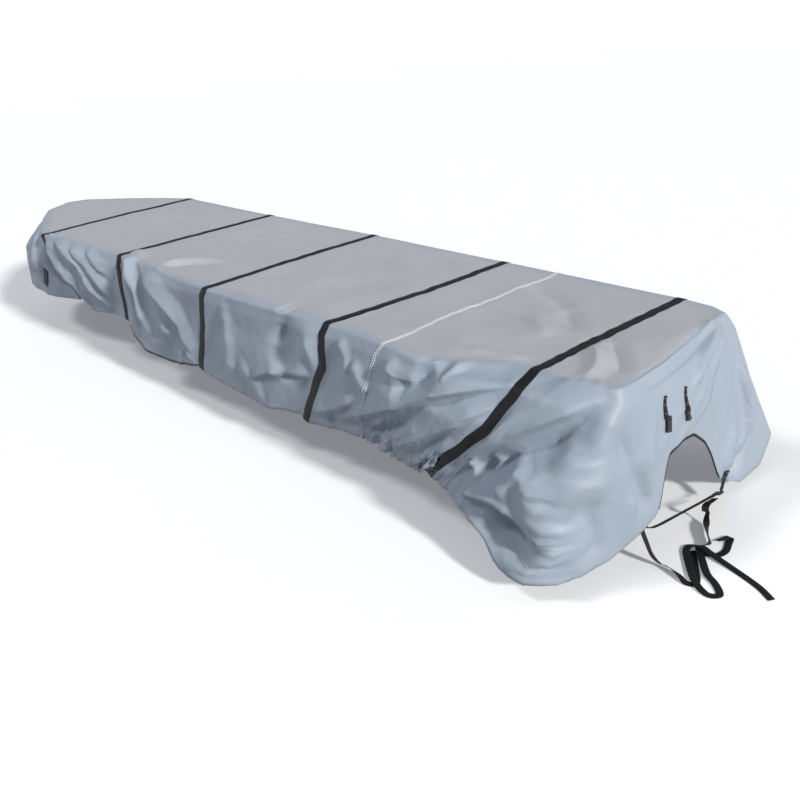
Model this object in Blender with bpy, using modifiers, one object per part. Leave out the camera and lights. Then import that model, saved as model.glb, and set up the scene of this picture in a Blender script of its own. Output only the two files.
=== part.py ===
"""Fitted cover for a narrow, square-sterned boat, hanging as it does over its hull.

X runs towards the stern, Y towards the far side and Z up. The origin is under the top, below the middle strap.
"""
import math

import bmesh
import bpy
import numpy as np
from mathutils import Matrix, Vector

# Driving sizes, in metres.
CLOTH_THICKNESS = 0.0014
WEBBING_THICKNESS = 0.0016
WEBBING_WIDTH = 0.038
TAB_WIDTH = 0.016
CORNER_TAB_WIDTH = 0.025
TIE_WIDTH = 0.025
BINDING_THICKNESS = 0.0012
BINDING_WIDTH = 0.012
BUCKLE_SIZE = (0.025, 0.055, 0.008)  # across, along and through
SLIDER_SIZE = (0.034, 0.030, 0.005)
SLOT_SIZE = (0.027, 0.006)
STRAP_X = {1: -1.76, 2: -0.88, 3: 0.0, 4: 0.88, 5: 1.76}
SEAM_X = 1.17
BOW_ROOT_X = -1.791
STERN_ROOT_X = 1.791
STRAP_FLAT = 0.0264  # half the width of cloth that a strap holds flat
STRAP_EASE = 0.05  # how far from a strap the folds fade
SEW_GAP = 0.0014  # air between a sewn piece and the cloth under it
PANEL_GAP = 0.0003  # half the gap between the two panels
TOP_LIFT = 0.003  # the cloth's middle over the origin
FLOOR_Z = -0.66
WELD = 0.0001

# How the cloth hangs, one row a section, going round from the far end of the cross seam by the bow, the near
# side and the stern. The columns are the section's name, the x where it leaves the top's middle line, then
# x, y, z on the top's edge, on the shoulder under it, on the belly of the side and on the hem.
SECTIONS = (
    ("far seam", 1.17, (1.17, .497, 0), (1.17, .519, -.053), (1.17, .528, -.194), (1.17, .51, -.414)),
    ("far strap 4", .88, (.88, .497, 0), (.88, .519, -.053), (.88, .528, -.194), (.88, .51, -.414)),
    ("far strap 3", 0, (0, .506, 0), (0, .528, -.053), (0, .537, -.194), (0, .519, -.431)),
    ("far strap 2", -.88, (-.88, .493, 0), (-.88, .515, -.053), (-.88, .519, -.176), (-.88, .502, -.387)),
    ("far side 1", -1.32, (-1.32, .493, 0), (-1.32, .515, -.053), (-1.32, .519, -.176), (-1.32, .493, -.378)),
    ("far strap 1", -1.76, (-1.76, .497, 0), (-1.742, .51, -.053), (-1.725, .502, -.176), (-1.707, .458, -.378)),
    ("far bow 1", -1.791, (-1.954, .422, 0), (-1.971, .458, -.044), (-1.989, .493, -.176), (-1.998, .493, -.378)),
    ("far bow 2", -1.791, (-2.191, .295, 0), (-2.218, .326, -.044), (-2.253, .378, -.176), (-2.288, .405, -.378)),
    ("far nose", -1.791, (-2.464, .114, 0), (-2.508, .132, -.053), (-2.57, .158, -.176), (-2.614, .176, -.37)),
    ("nose", -1.791, (-2.504, 0, 0), (-2.552, 0, -.053), (-2.614, 0, -.176), (-2.666, 0, -.37)),
    ("near nose", -1.791, (-2.394, -.176, 0), (-2.438, -.211, -.053), (-2.517, -.264, -.176), (-2.552, -.299, -.378)),
    ("near bow 2", -1.791, (-2.156, -.308, 0), (-2.2, -.352, -.053), (-2.253, -.431, -.176), (-2.253, -.449, -.396)),
    ("near bow 1", -1.791, (-1.936, -.414, 0), (-1.954, -.466, -.053), (-1.989, -.519, -.176), (-1.954, -.493, -.405)),
    ("near strap 1", -1.76, (-1.725, -.508, 0), (-1.70, -.506, -.053), (-1.637, -.49, -.176), (-1.51, -.455, -.35)),
    ("near side 1", -1.54, (-1.54, -.497, 0), (-1.522, -.528, -.053), (-1.461, -.528, -.176), (-1.434, -.466, -.37)),
    ("near side 2", -1.32, (-1.32, -.484, 0), (-1.311, -.515, -.053), (-1.285, -.537, -.176), (-1.267, -.506, -.361)),
    ("near strap 2", -.88, (-.88, -.466, 0), (-.854, -.497, -.053), (-.845, -.51, -.176), (-.862, -.502, -.333)),
    ("near side 3", -.73, (-.73, -.475, 0), (-.722, -.506, -.053), (-.73, -.528, -.194), (-.774, -.515, -.387)),
    ("near side 4", -.598, (-.598, -.487, 0), (-.598, -.515, -.053), (-.607, -.532, -.211), (-.66, -.519, -.449)),
    ("near side 5", -.44, (-.44, -.497, 0), (-.44, -.524, -.053), (-.44, -.537, -.22), (-.44, -.51, -.466)),
    ("near strap 3", 0, (.018, -.521, 0), (-.009, -.528, -.044), (-.035, -.532, -.176), (-.123, -.528, -.414)),
    ("near side 6", .44, (.44, -.509, 0), (.422, -.532, -.053), (.396, -.55, -.22), (.37, -.528, -.458)),
    ("near strap 4", .88, (.836, -.486, 0), (.832, -.515, -.044), (.827, -.528, -.167), (.678, -.537, -.436)),
    ("near seam", 1.17, (1.179, -.509, 0), (1.153, -.528, -.044), (1.126, -.55, -.15), (1.03, -.528, -.409)),
    ("near side 7", 1.364, (1.373, -.528, 0), (1.364, -.563, -.062), (1.32, -.576, -.167), (1.232, -.546, -.414)),
    ("near side 8", 1.514, (1.522, -.458, 0), (1.514, -.537, -.044), (1.461, -.581, -.15), (1.32, -.55, -.436)),
    ("near side 9", 1.672, (1.672, -.37, 0), (1.672, -.502, -.035), (1.602, -.563, -.167), (1.373, -.55, -.44)),
    ("near strap 5", 1.76, (1.76, -.37, 0), (1.778, -.48, -.026), (1.69, -.537, -.167), (1.408, -.546, -.422)),
    ("quarter 1", 1.791, (1.91, -.387, 0), (1.874, -.466, -.053), (1.76, -.528, -.194), (1.54, -.572, -.458)),
    ("quarter 2", 1.791, (2.006, -.365, 0), (1.962, -.431, -.062), (1.83, -.546, -.238), (1.698, -.616, -.502)),
    ("quarter 3", 1.791, (2.046, -.352, 0), (2.033, -.396, -.062), (1.927, -.563, -.264), (1.83, -.664, -.581)),
    ("corner 1", 1.791, (2.064, -.339, 0), (2.077, -.37, -.053), (2.006, -.528, -.264), (1.945, -.647, -.603)),
    ("corner 2", 1.791, (2.064, -.317, 0), (2.09, -.317, -.053), (2.077, -.44, -.264), (2.037, -.554, -.598)),
    ("stern 1", 1.791, (2.059, -.246, 0), (2.09, -.255, -.053), (2.103, -.326, -.264), (2.072, -.396, -.581)),
    ("stern 2", 1.791, (2.05, -.176, 0), (2.086, -.185, -.053), (2.103, -.22, -.264), (2.094, -.246, -.532)),
    ("cut 1", 1.791, (2.046, -.114, 0), (2.081, -.123, -.053), (2.103, -.15, -.246), (2.094, -.154, -.502)),
    ("cut 2", 1.791, (2.042, -.079, 0), (2.077, -.088, -.044), (2.099, -.106, -.176), (2.099, -.121, -.304)),
    ("cut 3", 1.791, (2.033, -.018, 0), (2.068, -.018, -.044), (2.094, -.026, -.167), (2.094, -.035, -.286)),
    ("cut 4", 1.791, (2.024, .044, 0), (2.059, .044, -.044), (2.086, .048, -.167), (2.09, .053, -.299)),
    ("cut 5", 1.791, (2.015, .106, 0), (2.05, .106, -.044), (2.077, .119, -.194), (2.086, .132, -.361)),
    ("cut 6", 1.791, (2.006, .15, 0), (2.042, .154, -.044), (2.068, .167, -.229), (2.081, .194, -.44)),
    ("cut 7", 1.791, (1.998, .194, 0), (2.033, .198, -.053), (2.059, .229, -.264), (2.077, .264, -.563)),
    ("stern 3", 1.791, (1.989, .273, 0), (2.024, .286, -.053), (2.05, .352, -.264), (2.086, .405, -.638)),
    ("stern 4", 1.791, (1.969, .37, 0), (2.002, .387, -.053), (2.033, .466, -.264), (2.086, .554, -.625)),
    ("far corner 1", 1.791, (1.965, .436, 0), (1.993, .462, -.053), (2.015, .554, -.264), (2.059, .686, -.546)),
    ("far corner 2", 1.791, (1.892, .475, 0), (1.901, .502, -.053), (1.91, .598, -.264), (1.936, .704, -.528)),
    ("far strap 5", 1.76, (1.76, .488, 0), (1.76, .51, -.053), (1.716, .528, -.176), (1.672, .563, -.44)),
    ("far seam end", 1.17, (1.17, .497, 0), (1.17, .519, -.053), (1.17, .528, -.194), (1.17, .51, -.414)),
)
LEVEL_ROWS = (0.0, 1.0, 1.15, 1.5, 2.0)  # the rows of the root, edge, shoulder, belly and hem
LEVEL_BLUR = 0.05  # rounds a section's corners, in rows
SECTION_BLUR = 0.02  # rounds the turns from one section to the next, in metres

# Main folds: name, height out of the cloth, half width, then x, y, z of the points along the fold.
FOLDS = (
    ("shoulder ridge", .010, .040, ((1.75, -.46, -.02), (1.53, -.55, -.08), (1.32, -.57, -.17), (1.07, -.54, -.28))),
    ("quarter crease", -.014, .035, ((2.04, -.34, -.02), (1.93, -.45, -.08), (1.75, -.53, -.19), (1.6, -.54, -.29))),
    ("quarter roll", .018, .045, ((1.95, -.46, -.12), (1.85, -.53, -.21), (1.72, -.55, -.28), (1.63, -.56, -.33))),
    ("quarter pocket", -.030, .060, ((1.7, -.58, -.41), (1.8, -.59, -.42), (1.9, -.6, -.43), (1.95, -.6, -.52))),
    ("corner fold", .014, .050, ((2.04, -.42, -.14), (2.04, -.49, -.32), (2.03, -.54, -.56))),
    ("stern fold 1", -.010, .045, ((2, .35, -.04), (2.07, .1, -.12), (2.1, -.05, -.22))),
    ("stern fold 2", -.012, .045, ((2.02, .41, -.14), (2.04, .43, -.27), (2.06, .46, -.4))),
    ("bow fold 1", .012, .035, ((-1.68, -.5, -.04), (-1.38, -.52, -.1), (-1.08, -.52, -.2))),
    ("bow fold 2", -.012, .035, ((-1.66, -.5, -.08), (-1.42, -.53, -.17), (-1.2, -.52, -.27))),
    ("side fold", .008, .050, ((.4, -.55, -.16), (.56, -.54, -.28), (.66, -.53, -.4))),
)

# Grid rows from the root to the hem, closest together where a section turns.
GRID_ROWS = (0.0, 0.4, 0.75, 0.93, 0.97, 1.0, 1.03, 1.07, 1.12, 1.18, 1.3, 1.45, 1.6, 1.8, 2.0)
WIDEST_COLUMN = 0.15

# Webbing that is pulled tight or hangs free: x, y, z of its middle, then the compass turn and the lift of its
# width, in degrees.
TIE_TAUT = (
    (2.066, -0.222, -0.455, 90, 0),
    (2.068, -0.218, -0.520, 70, 0),
    (2.076, -0.186, -0.551, 20, 12),
    (2.082, -0.130, -0.563, 2, 24),
    (2.085, -0.020, -0.575, 0, 26),
    (2.088, 0.110, -0.589, 0, 26),
    (2.090, 0.217, -0.599, 0, 22),
)
TIE_NEAR = (
    (2.083, -0.234, -0.470, 96, 0),
    (2.085, -0.234, -0.530, 98, 0),
    (2.104, -0.232, -0.578, 102, 0),
    (2.120, -0.226, -0.618, 104, -10),
    (2.144, -0.216, -0.645, 96, -32),
    (2.180, -0.215, -0.646, 84, -44),
    (2.222, -0.226, -0.650, 78, -25),
    (2.254, -0.239, -0.6565, 86, -4),
    (2.278, -0.229, -0.6585, 154, 0),
    (2.272, -0.202, -0.6585, 203, 0),
    (2.238, -0.154, -0.6585, 215, 0),
    (2.196, -0.096, -0.6585, 214, 0),
    (2.182, -0.076, -0.6585, 185, 0),
    (2.196, -0.066, -0.6585, 112, 0),
    (2.222, -0.054, -0.6585, 110, 0),
    (2.250, -0.038, -0.6585, 141, 0),
    (2.258, 0.000, -0.6585, 179, 0),
    (2.242, 0.050, -0.6580, 197, 0),
    (2.230, 0.083, -0.6555, 182, 0),
    (2.222, 0.058, -0.6525, 163, -6),
    (2.212, 0.028, -0.6500, 160, -20),
)
TIE_FAR = (
    (2.098, 0.205, -0.607, 0, 22),
    (2.105, 0.168, -0.599, -4, 16),
    (2.110, 0.134, -0.590, 4, 10),
    (2.114, 0.112, -0.593, 25, 0),
    (2.116, 0.110, -0.607, 40, 0),
    (2.118, 0.120, -0.624, -30, 0),
    (2.126, 0.104, -0.641, 0, -10),
    (2.140, 0.076, -0.643, 30, -40),
    (2.162, 0.044, -0.642, 48, -58),
    (2.186, 0.016, -0.642, 52, -60),
    (2.204, -0.008, -0.643, 85, -50),
    (2.196, -0.028, -0.647, 118, -35),
    (2.176, -0.040, -0.650, 124, -26),
    (2.156, -0.058, -0.653, 160, -6),
    (2.164, -0.088, -0.6545, 204, 0),
    (2.206, -0.142, -0.6545, 212, 0),
    (2.262, -0.206, -0.6535, 225, 0),
    (2.304, -0.240, -0.6535, 242, 0),
    (2.344, -0.250, -0.6575, 283, 0),
    (2.366, -0.226, -0.6580, 373, 0),
    (2.330, -0.188, -0.6560, 411, 0),
    (2.284, -0.160, -0.6530, 410, 0),
    (2.240, -0.112, -0.6510, 401, 0),
    (2.206, -0.072, -0.6480, 399, 0),
    (2.186, -0.047, -0.6440, 416, 0),
    (2.206, -0.052, -0.6410, 433, 0),
    (2.232, -0.057, -0.6450, 434, 0),
    (2.262, -0.062, -0.6510, 434, 0),
    (2.345, -0.081, -0.6575, 434, 0),
    (2.436, -0.112, -0.6585, 427, 0),
    (2.497, -0.147, -0.6585, 420, 0),
)

# Tabs sewn on the cloth: x, y, z beside the cloth, then how far their middle stands off it.
BOW_TAB = (
    (-1.826, -0.492, -0.214, 0.0035),
    (-1.868, -0.492, -0.272, 0.0035),
    (-1.915, -0.492, -0.330, 0.0035),
)
STERN_TAB_NEAR = (
    (2.085, -0.132, -0.083, 0.0030),
    (2.089, -0.139, -0.112, 0.0030),
    (2.091, -0.143, -0.1485, 0.0060),
)
STERN_TAB_FAR = (
    (2.078, -0.003, -0.099, 0.0030),
    (2.085, -0.012, -0.126, 0.0030),
    (2.090, -0.0185, -0.1550, 0.0060),
)
CORNER_TAB = (
    (2.077, 0.304, -0.540, 0.0035),
    (2.077, 0.298, -0.560, 0.0035),
)
CORNER_TAB_END = ((2.082, 0.287, -0.578), (2.087, 0.270, -0.594), (2.092, 0.2535, -0.6015))  # past the hem, down to the slider
BUCKLE_NEAR = ((2.092, -0.128, -0.151, 0.0085), (2.099, -0.136, -0.206, 0.0085))
BUCKLE_FAR = ((2.090, -0.020, -0.161, 0.0085), (2.092, -0.007, -0.216, 0.0085))
SLIDER_MIDDLE = (2.092, 0.2345, -0.602)


def clear_scene():
    for old in list(bpy.data.objects):
        bpy.data.objects.remove(old, do_unlink=True)


def unit(vectors):
    length = np.linalg.norm(vectors, axis=-1, keepdims=True)
    return vectors / np.maximum(length, 1e-9)


def levels_of(section):
    """A section's root, edge, shoulder, belly and hem as five points."""
    root = (section[1], 0.0, 0.0)
    return np.array([root, *section[2:]], float)


def hanging_sections():
    """Returns (roots, walks, levels): every strap's section is split in two, and the ends are carried on."""
    rows = [levels_of(section) for section in SECTIONS]
    roots, levels = [], []
    for index, section in enumerate(SECTIONS):
        here = rows[index]
        if "strap" not in section[0]:
            roots.append(section[1])
            levels.append(here)
            continue
        going = rows[index + 1] - rows[index - 1]
        down = unit(np.gradient(here, axis=0))
        side = going - down * (going * down).sum(axis=1, keepdims=True)
        side = unit(side)
        root_side = 1.0 if section[2][1] < 0 else -1.0
        side[0] = (root_side, 0.0, 0.0)
        for sign in (-1.0, 1.0):
            roots.append(section[1] + sign * root_side * STRAP_FLAT)
            levels.append(here + sign * STRAP_FLAT * side)
    before = levels_of(SECTIONS[-2])
    after = levels_of(SECTIONS[1])
    levels = np.array([before, *levels, after])
    levels[:, :, 2] += TOP_LIFT
    roots = np.array([SECTIONS[-2][1], *roots, SECTIONS[1][1]])
    steps = np.linalg.norm(np.diff(levels[:, 1], axis=0), axis=1)
    walks = np.concatenate([[0.0], np.cumsum(steps)])
    return roots, walks - walks[1], levels


def strap_walks():
    """The walk at the middle of each strap, on both sides."""
    return [
        (before + after) / 2
        for before, after, left, right in zip(WALKS[:-1], WALKS[1:], ROOTS[:-1], ROOTS[1:])
        if abs(abs(right - left) - 2 * STRAP_FLAT) < 1e-6
    ]


ROOTS, WALKS, LEVELS = hanging_sections()
STRAP_WALKS = strap_walks()
NEAR_FIRST = int(np.argmax((LEVELS[:, 1, 1] < 0) & (ROOTS > BOW_ROOT_X)))


def softened(x, knots, values, blur):
    """Straight lines between the knots, with rounded corners."""
    shifts = np.linspace(-1.0, 1.0, 9)
    return sum(np.interp(x + shift * blur, knots, values) for shift in shifts) / len(shifts)


def hung(walk, row):
    """A point of the cloth, before its folds, from the walk round its edge and the row out from its middle."""
    walk, row = np.broadcast_arrays(np.asarray(walk, float), np.asarray(row, float))
    blur = np.minimum(LEVEL_BLUR, np.minimum(row, 2.0 - row))
    found = np.zeros(walk.shape + (3,))
    for level in range(5):
        share = softened(row, LEVEL_ROWS, np.eye(5)[level], blur)
        section_blur = SECTION_BLUR if level else 0.0
        for axis in range(3):
            found[..., axis] += share * softened(walk, WALKS, LEVELS[:, level, axis], section_blur)
    return found


def outward(walk, row):
    """The direction out of the cloth."""
    step = 0.004
    row = np.clip(row, 0.02, 1.98)
    along = hung(walk + step, row) - hung(walk - step, row)
    down = hung(walk, row + step) - hung(walk, row - step)
    return unit(np.cross(down, along))


def fold_lift(points):
    """How far the main folds move each point out of the cloth."""
    lift = np.zeros(points.shape[:-1])
    for _, height, half_width, line in FOLDS:
        line = np.array(line, float)
        nearest = np.full(lift.shape, np.inf)
        for start, end in zip(line[:-1], line[1:]):
            run = end - start
            share = np.clip(((points - start) @ run) / (run @ run), 0.0, 1.0)
            gap = np.linalg.norm(points - start - share[..., None] * run, axis=-1)
            nearest = np.minimum(nearest, gap)
        lift += height * np.exp(-((nearest / half_width) ** 2))
    return lift


def strap_ease(walk):
    """Rises from 0 on a strap to 1 away from it, because a strap holds the cloth flat."""
    ease = np.ones(np.shape(walk))
    for middle in STRAP_WALKS:
        ease *= 1.0 - np.exp(-(((walk - middle) / STRAP_EASE) ** 2))
    return ease


def draped(walk, row):
    """A point of the cloth with its folds."""
    points = hung(walk, row)
    lift = fold_lift(points) * strap_ease(walk)
    return points + outward(walk, row) * lift[..., None]


def side_walks(roots_wanted, far):
    """The walks of the columns that leave the middle line at these x, on one side."""
    roots = ROOTS[1:NEAR_FIRST] if far else ROOTS[NEAR_FIRST:-1]
    walks = WALKS[1:NEAR_FIRST] if far else WALKS[NEAR_FIRST:-1]
    ours = LEVELS[1:NEAR_FIRST, 1, 1] if far else LEVELS[NEAR_FIRST:-1, 1, 1]
    keep = (roots > BOW_ROOT_X + 0.001) & (roots < STERN_ROOT_X - 0.001)
    keep &= ours > 0 if far else ours < 0
    order = np.argsort(roots[keep])
    return np.interp(roots_wanted, roots[keep][order], walks[keep][order])


def stern_far_walks(roots_wanted):
    """As side_walks, for the far side of the stern panel, which the walk reaches last."""
    keep = (WALKS > WALKS[-1] * 0.6) & (LEVELS[:, 1, 1] > 0) & (ROOTS < STERN_ROOT_X - 0.001)
    order = np.argsort(ROOTS[keep])
    return np.interp(roots_wanted, ROOTS[keep][order], WALKS[keep][order])


def filled(values, widest):
    """The sorted values, with more between them where a gap is wider than this."""
    made = [values[0]]
    for before, after in zip(values[:-1], values[1:]):
        count = max(1, math.ceil(abs(after - before) / widest - 1e-6))
        made += list(np.linspace(before, after, count + 1)[1:])
    return np.array(made)


def straight_roots(low, high):
    """The x on the middle line that both sides' columns share between these two."""
    inside = sorted({round(float(x), 5) for x in ROOTS if low + 0.001 < x < high - 0.001})
    return filled(np.array([low, *inside, high]), WIDEST_COLUMN)


def fan_walks(first, last):
    """The walks of the columns between these two that all leave the middle line at one point."""
    between = WALKS[(WALKS > first + 0.001) & (WALKS < last - 0.001)]
    return filled(np.array([first, *between, last]), WIDEST_COLUMN)[1:-1]


def main_columns():
    """(walks, root x) of the main panel, from the cross seam's far end round the bow to its near end."""
    roots = straight_roots(STRAP_X[1] - STRAP_FLAT, SEAM_X - PANEL_GAP)
    far = side_walks(roots, True)[::-1]
    near = side_walks(roots, False)
    fan = fan_walks(far[-1], near[0])
    walks = np.concatenate([far, fan, near])
    return walks, np.concatenate([roots[::-1], np.full(len(fan), BOW_ROOT_X), roots])


def stern_columns():
    """(walks, root x) of the stern panel, from the cross seam's near end round the stern to its far end."""
    roots = straight_roots(SEAM_X + PANEL_GAP, STRAP_X[5] + STRAP_FLAT)
    near = side_walks(roots, False)
    far = stern_far_walks(roots)[::-1]
    fan = fan_walks(near[-1], far[0])
    walks = np.concatenate([near, fan, far])
    return walks, np.concatenate([roots, np.full(len(fan), STERN_ROOT_X), roots[::-1]])


def column_points(walks, roots):
    """The cloth's points, rows down and columns across, meeting at the middle line."""
    points = draped(walks[None, :], np.array(GRID_ROWS)[:, None])
    points[0] = np.stack([roots, np.zeros(len(roots)), np.full(len(roots), TOP_LIFT)], axis=1)
    return points


def material(name, colour, roughness):
    made = bpy.data.materials.new(name)
    made.use_nodes = True
    shader = made.node_tree.nodes["Principled BSDF"]
    shader.inputs["Base Color"].default_value = (*colour, 1.0)
    shader.inputs["Roughness"].default_value = roughness
    return made


def add_object(name, shape, colour, roughness, home):
    """Puts a bmesh in the scene as one smooth-shaded object with its own material."""
    mesh = bpy.data.meshes.new(name)
    shape.to_mesh(mesh)
    shape.free()
    mesh.polygons.foreach_set("use_smooth", [True] * len(mesh.polygons))
    mesh.materials.append(material(name + "_finish", colour, roughness))
    made = bpy.data.objects.new(name, mesh)
    home.objects.link(made)
    return made


def add_sheet(name, points, thickness, colour, roughness, home):
    """A sheet through a table of points, rows by columns, with its thickness about the middle."""
    rows, columns = points.shape[:2]
    shape = bmesh.new()
    bmesh.ops.create_grid(shape, x_segments=columns - 1, y_segments=rows - 1, size=1.0)
    for vertex in shape.verts:
        column = round((vertex.co.x + 1.0) / 2.0 * (columns - 1))
        row = round((vertex.co.y + 1.0) / 2.0 * (rows - 1))
        vertex.co = points[row, column]
    bmesh.ops.remove_doubles(shape, verts=shape.verts, dist=WELD)
    bmesh.ops.recalc_face_normals(shape, faces=shape.faces)
    made = add_object(name, shape, colour, roughness, home)
    solid = made.modifiers.new("thickness", "SOLIDIFY")
    solid.thickness = thickness
    solid.offset = 0.0
    return made


def strap_points(number, main, stern):
    """The two edges of a strap from its near hem over the top to its far hem, lying on the flat cloth."""
    points, roots = stern if number == 5 else main
    middle = STRAP_X[number]
    sides = []
    for far in (False, True):
        pair = []
        for x in (middle - STRAP_FLAT, middle + STRAP_FLAT):
            columns = np.flatnonzero(np.abs(roots - x) < 0.0005)
            wanted = [c for c in columns if (points[5, c, 1] > 0) == far]
            pair.append(points[:, wanted[0]])
        sides.append(np.stack(pair, axis=1))
    near, far = sides
    both = np.concatenate([near[::-1], far[1:]])
    centre = both.mean(axis=1)
    across = unit(both[:, 1] - both[:, 0])
    along = unit(np.gradient(centre, axis=0))
    up = unit(np.cross(across, along))
    off = CLOTH_THICKNESS / 2 + SEW_GAP + WEBBING_THICKNESS / 2
    middle_line = centre + up * off
    half = WEBBING_WIDTH / 2
    # This order splits the strap's faces along the same diagonals as the cloth's.
    return np.stack([middle_line + across * half, middle_line - across * half], axis=1)


def binding_points(points, walks):
    """The strip sewn on the edge of the motor cut-out, at the cloth's own columns."""
    first = walk_of("cut 1")
    last = walk_of("cut 7")
    chosen = np.flatnonzero((walks > first - 0.001) & (walks < last + 0.001))
    low, above = points[-1, chosen], points[-2, chosen]
    up_hem = unit(above - low)
    off = CLOTH_THICKNESS / 2 + SEW_GAP + BINDING_THICKNESS / 2
    out = outward(walks[chosen], np.full(len(chosen), 1.9)) * off
    return np.stack([low + up_hem * BINDING_WIDTH + out, low + out])


def walk_of(name):
    names = [section[0] for section in SECTIONS]
    levels = levels_of(SECTIONS[names.index(name)])
    levels[:, 2] += TOP_LIFT
    return float(WALKS[np.argmin(np.linalg.norm(LEVELS[:, 1] - levels[1], axis=1))])


def cloth_samples(first, last):
    """(points, directions out) of the cloth between two walks, closely spaced."""
    walk, row = np.meshgrid(np.linspace(first, last, 160), np.linspace(1.0, 2.0, 160))
    return draped(walk, row).reshape(-1, 3), outward(walk, row).reshape(-1, 3)


def against_cloth(table, samples):
    """(points, directions out) of a table whose last column is the distance off the cloth."""
    points, outs = samples
    places, ways = [], []
    for *place, off in table:
        nearest = np.argmin(np.linalg.norm(points - place, axis=1))
        out = outs[nearest]
        ways.append(out)
        places.append(place + out * (off - (place - points[nearest]) @ out))
    return np.array(places), np.array(ways)


def tab_points(table, width, samples, free_end=()):
    """The two edges of a short tab that lies along the cloth and may go on past its hem."""
    middle, out = against_cloth(table, samples)
    middle = np.array([*middle, *free_end])
    out = np.array([*out, *[out[-1]] * len(free_end)])
    along = unit(np.gradient(middle, axis=0))
    across = unit(np.cross(along, out)) * width / 2
    return np.stack([middle - across, middle + across], axis=1)


def curve_through(values, steps):
    """Points on a smooth curve through the rows of a table."""
    ends = np.concatenate([[2 * values[0] - values[1]], values, [2 * values[-1] - values[-2]]])
    made = []
    for a, b, c, d in zip(ends[:-3], ends[1:-2], ends[2:-1], ends[3:]):
        for t in np.arange(steps) / steps:
            made.append(
                0.5 * (2 * b + (c - a) * t + (2 * a - 5 * b + 4 * c - d) * t**2 + (3 * b - a - 3 * c + d) * t**3)
            )
    return np.array([*made, values[-1]])


def ribbon_points(table, steps=4):
    """The two edges of a length of webbing, from its middle line and the turn and lift of its width."""
    run = curve_through(np.array(table, float), steps)
    middle = run[:, :3]
    turn, lift = np.radians(run[:, 3]), np.radians(run[:, 4])
    across = np.stack([np.cos(turn) * np.cos(lift), np.sin(turn) * np.cos(lift), np.sin(lift)], axis=1)
    half = across * TIE_WIDTH / 2
    lowest = FLOOR_Z + np.abs(half[:, 2]) + WEBBING_THICKNESS / 2 + 0.0004
    middle[:, 2] = np.maximum(middle[:, 2], lowest)
    return np.stack([middle - half, middle + half], axis=1)


def add_block(name, size, place, colour, home, rounding):
    """A box with rounded edges, at a place given as a matrix."""
    shape = bmesh.new()
    bmesh.ops.create_cube(shape, size=1.0)
    bmesh.ops.scale(shape, vec=size, verts=shape.verts)
    bmesh.ops.bevel(
        shape, geom=shape.edges[:], offset=rounding, segments=2, affect="EDGES", profile=0.5, material=-1
    )
    bmesh.ops.transform(shape, matrix=place, verts=shape.verts)
    return add_object(name, shape, colour, 0.45, home)


def frame_at(middle, down, out):
    """A matrix whose y runs down and whose z points out."""
    out = unit(out - down * (out @ down))
    across = np.cross(down, out)
    turned = Matrix(np.stack([across, down, out], axis=1).tolist()).to_4x4()
    turned.translation = Vector(middle)
    return turned


def add_buckle(name, table, samples, home):
    ends, outs = against_cloth(table, samples)
    place = frame_at(ends.mean(axis=0), unit(ends[1] - ends[0]), outs[0])
    return add_block(name, BUCKLE_SIZE, place, PLASTIC_BLACK, home, 0.0022)


def add_slider(home, cutters):
    """The ladder-lock slider that holds the tie, with its two slots."""
    lift = math.radians(22)
    out = np.array([-math.sin(lift), 0.0, math.cos(lift)])
    place = frame_at(np.array(SLIDER_MIDDLE), np.array([0.0, 1.0, 0.0]), out)
    made = add_block("ladder_slider", SLIDER_SIZE, place, PLASTIC_BLACK, home, 0.0015)
    for index, offset in enumerate((-0.0075, 0.0075)):
        shape = bmesh.new()
        bmesh.ops.create_cube(shape, size=1.0)
        bmesh.ops.scale(shape, vec=(*SLOT_SIZE, 0.02), verts=shape.verts)
        bmesh.ops.transform(shape, matrix=place @ Matrix.Translation((0, offset, 0)), verts=shape.verts)
        cutter = add_object(f"slot_cutter_{index + 1}", shape, PLASTIC_BLACK, 0.5, cutters)
        cutter.hide_render = True
        cutter.display_type = "WIRE"
        cut = made.modifiers.new(f"slot_{index + 1}", "BOOLEAN")
        cut.operation = "DIFFERENCE"
        cut.solver = "EXACT"
        cut.object = cutter
    return made


CLOTH_GREY = (0.485, 0.546, 0.617)
WEBBING_BLACK = (0.018, 0.018, 0.021)
BINDING_BLACK = (0.022, 0.023, 0.026)
PLASTIC_BLACK = (0.012, 0.012, 0.014)


def add_cloth(home):
    """Both panels, their straps and the binding."""
    walks, roots = main_columns()
    main = column_points(walks, roots), roots
    add_sheet("main_panel", main[0], CLOTH_THICKNESS, CLOTH_GREY, 0.6, home)
    walks, roots = stern_columns()
    stern = column_points(walks, roots), roots
    add_sheet("stern_panel", stern[0], CLOTH_THICKNESS, CLOTH_GREY, 0.6, home)
    for number in STRAP_X:
        edges = strap_points(number, main, stern)
        add_sheet(f"strap_{number}", edges, WEBBING_THICKNESS, WEBBING_BLACK, 0.7, home)
    strip = binding_points(stern[0], walks)
    add_sheet("cutout_binding", strip, BINDING_THICKNESS, BINDING_BLACK, 0.7, home)


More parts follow.
